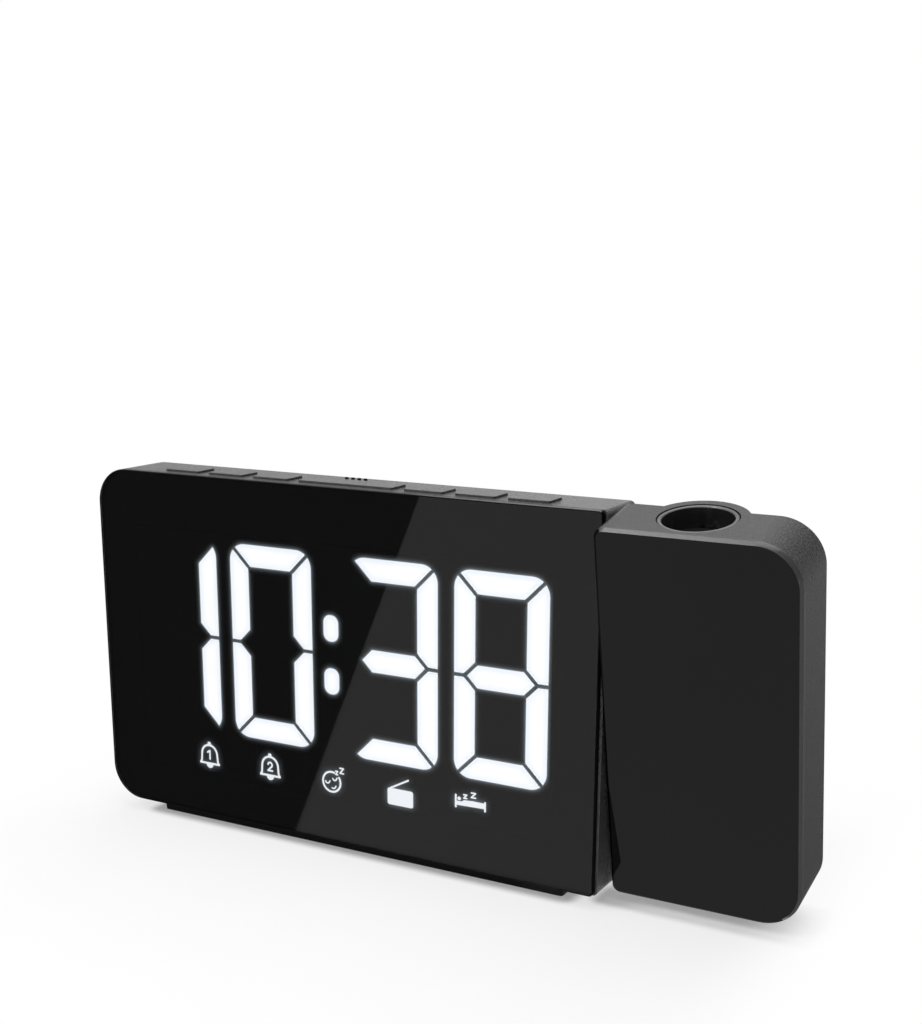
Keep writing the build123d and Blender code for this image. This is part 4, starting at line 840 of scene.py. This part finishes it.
def floor_material():
    """Paper that turns to white light for the camera and to its own levels of light in gloss."""
    made, tree, out = material("floor_paper")
    position = add(tree, "ShaderNodeNewGeometry").outputs["Position"]
    split = add(tree, "ShaderNodeSeparateXYZ")
    tree.links.new(position, split.inputs[0])
    x, y = split.outputs[0], split.outputs[1]
    rays = add(tree, "ShaderNodeLightPath")
    paper = add(tree, "ShaderNodeBsdfDiffuse")
    tree.links.new(tint(tree, spread(tree, noise(tree, position, PAPER_PATCHES), *NOISE_SPAN), *PAPER),
                   paper.inputs["Color"])
    white = add(tree, "ShaderNodeEmission", {"Color": WHITE, "Strength": 1.0})
    gloss = add(tree, "ShaderNodeEmission", {"Color": WHITE})
    tree.links.new(floor_gloss(tree, x, y), gloss.inputs["Strength"])
    to_white = math_node(tree, "MULTIPLY", floor_white(tree, x, y), rays.outputs["Is Camera Ray"])
    seen = mixed(tree, rays.outputs["Is Glossy Ray"], mixed(tree, to_white, paper, white), gloss)
    tree.links.new(seen.outputs[0], out.inputs["Surface"])
    return made


floor_mesh = bmesh.new()
floor_mesh.faces.new([floor_mesh.verts.new((x * FLOOR_HALF, y * FLOOR_HALF, -FLOOR_DROP))
                      for x, y in ((-1, -1), (1, -1), (1, 1), (-1, 1))])
floor = piece("floor", floor_mesh, floor_material())

# ---------------------------------------------------------------- room, lights and camera
# To the camera the room is white. In gloss it is white low down behind the clock, round one x of
# the direction that is looked in, and greyer to both sides and overhead.
ROOM_AXIS = -0.35
SIDE_GLOSS = (1.15, 0.05)
HEIGHT_SPAN, HEIGHT_GLOSS = (0.12, 0.5), (1.0, 0.40)
ROOM_LIGHT = 0.5


def room():
    """The world, whose light hangs on the kind of ray that meets it."""
    made = bpy.data.worlds.new("studio")
    made.use_nodes = True
    tree = made.node_tree
    tree.nodes.clear()
    calc, span = partial(math_node, tree), partial(spread, tree)
    rays = add(tree, "ShaderNodeLightPath").outputs
    heading = add(tree, "ShaderNodeSeparateXYZ")
    tree.links.new(add(tree, "ShaderNodeTexCoord").outputs["Generated"], heading.inputs[0])
    off_axis = calc("ABSOLUTE", calc("ADD", heading.outputs[0], -ROOM_AXIS))
    in_gloss = calc("MULTIPLY", span(off_axis, 0.0, 1.0, *SIDE_GLOSS),
                    span(heading.outputs[2], *HEIGHT_SPAN, *HEIGHT_GLOSS))
    plain = calc("MAXIMUM", rays["Is Camera Ray"], rays["Is Transmission Ray"])
    glossy = calc("MULTIPLY", rays["Is Glossy Ray"], in_gloss)
    diffuse = calc("MULTIPLY", rays["Is Diffuse Ray"], ROOM_LIGHT)
    sky = add(tree, "ShaderNodeBackground", {"Color": WHITE})
    tree.links.new(calc("MAXIMUM", plain, calc("MAXIMUM", glossy, diffuse)), sky.inputs["Strength"])
    out = tree.nodes.new("ShaderNodeOutputWorld")
    tree.links.new(sky.outputs[0], out.inputs["Surface"])
    return made


def lamp(name, place, aim, size, radiance):
    """A rectangular lamp that looks at a point."""
    data = bpy.data.lights.new(name, "AREA")
    data.shape = "RECTANGLE"
    data.size, data.size_y = size
    data.energy = radiance * pi * size[0] * size[1]
    made = bpy.data.objects.new(name, data)
    made.location = place
    made.rotation_euler = (Vector(aim) - Vector(place)).to_track_quat("-Z", "Y").to_euler()
    bpy.context.scene.collection.objects.link(made)


bpy.context.scene.world = room()
lamp("overhead_softbox", place=(0.0, 0.2, 1.3), aim=(0.0, 0.0, 0.0), size=(1.26, 1.6), radiance=1.6)
lamp("front_softbox", place=(-0.62, -0.83, 1.12), aim=(0.0, 0.0, 0.05), size=(0.6, 0.6), radiance=5.0)

# The camera that was fitted to the photo: its place in metres and its tilt and heading in degrees.
CAMERA_PLACE = (0.197798, -0.303102, 0.144840)
CAMERA_TILT, CAMERA_HEADING = 75.214, 29.634
camera_data = bpy.data.cameras.new("camera")
camera_data.lens = 52.93
camera_data.sensor_width = 36.0
camera_data.shift_x = 0.02335
camera_data.shift_y = 0.14131
camera_data.clip_start = 0.01
camera_data.clip_end = 50.0
camera = bpy.data.objects.new("camera", camera_data)
camera.location = CAMERA_PLACE
camera.rotation_euler = (radians(CAMERA_TILT), 0.0, radians(CAMERA_HEADING))
bpy.context.scene.collection.objects.link(camera)
bpy.context.scene.camera = camera
bpy.context.scene.view_settings.view_transform = "Standard"

bpy.context.view_layer.update()
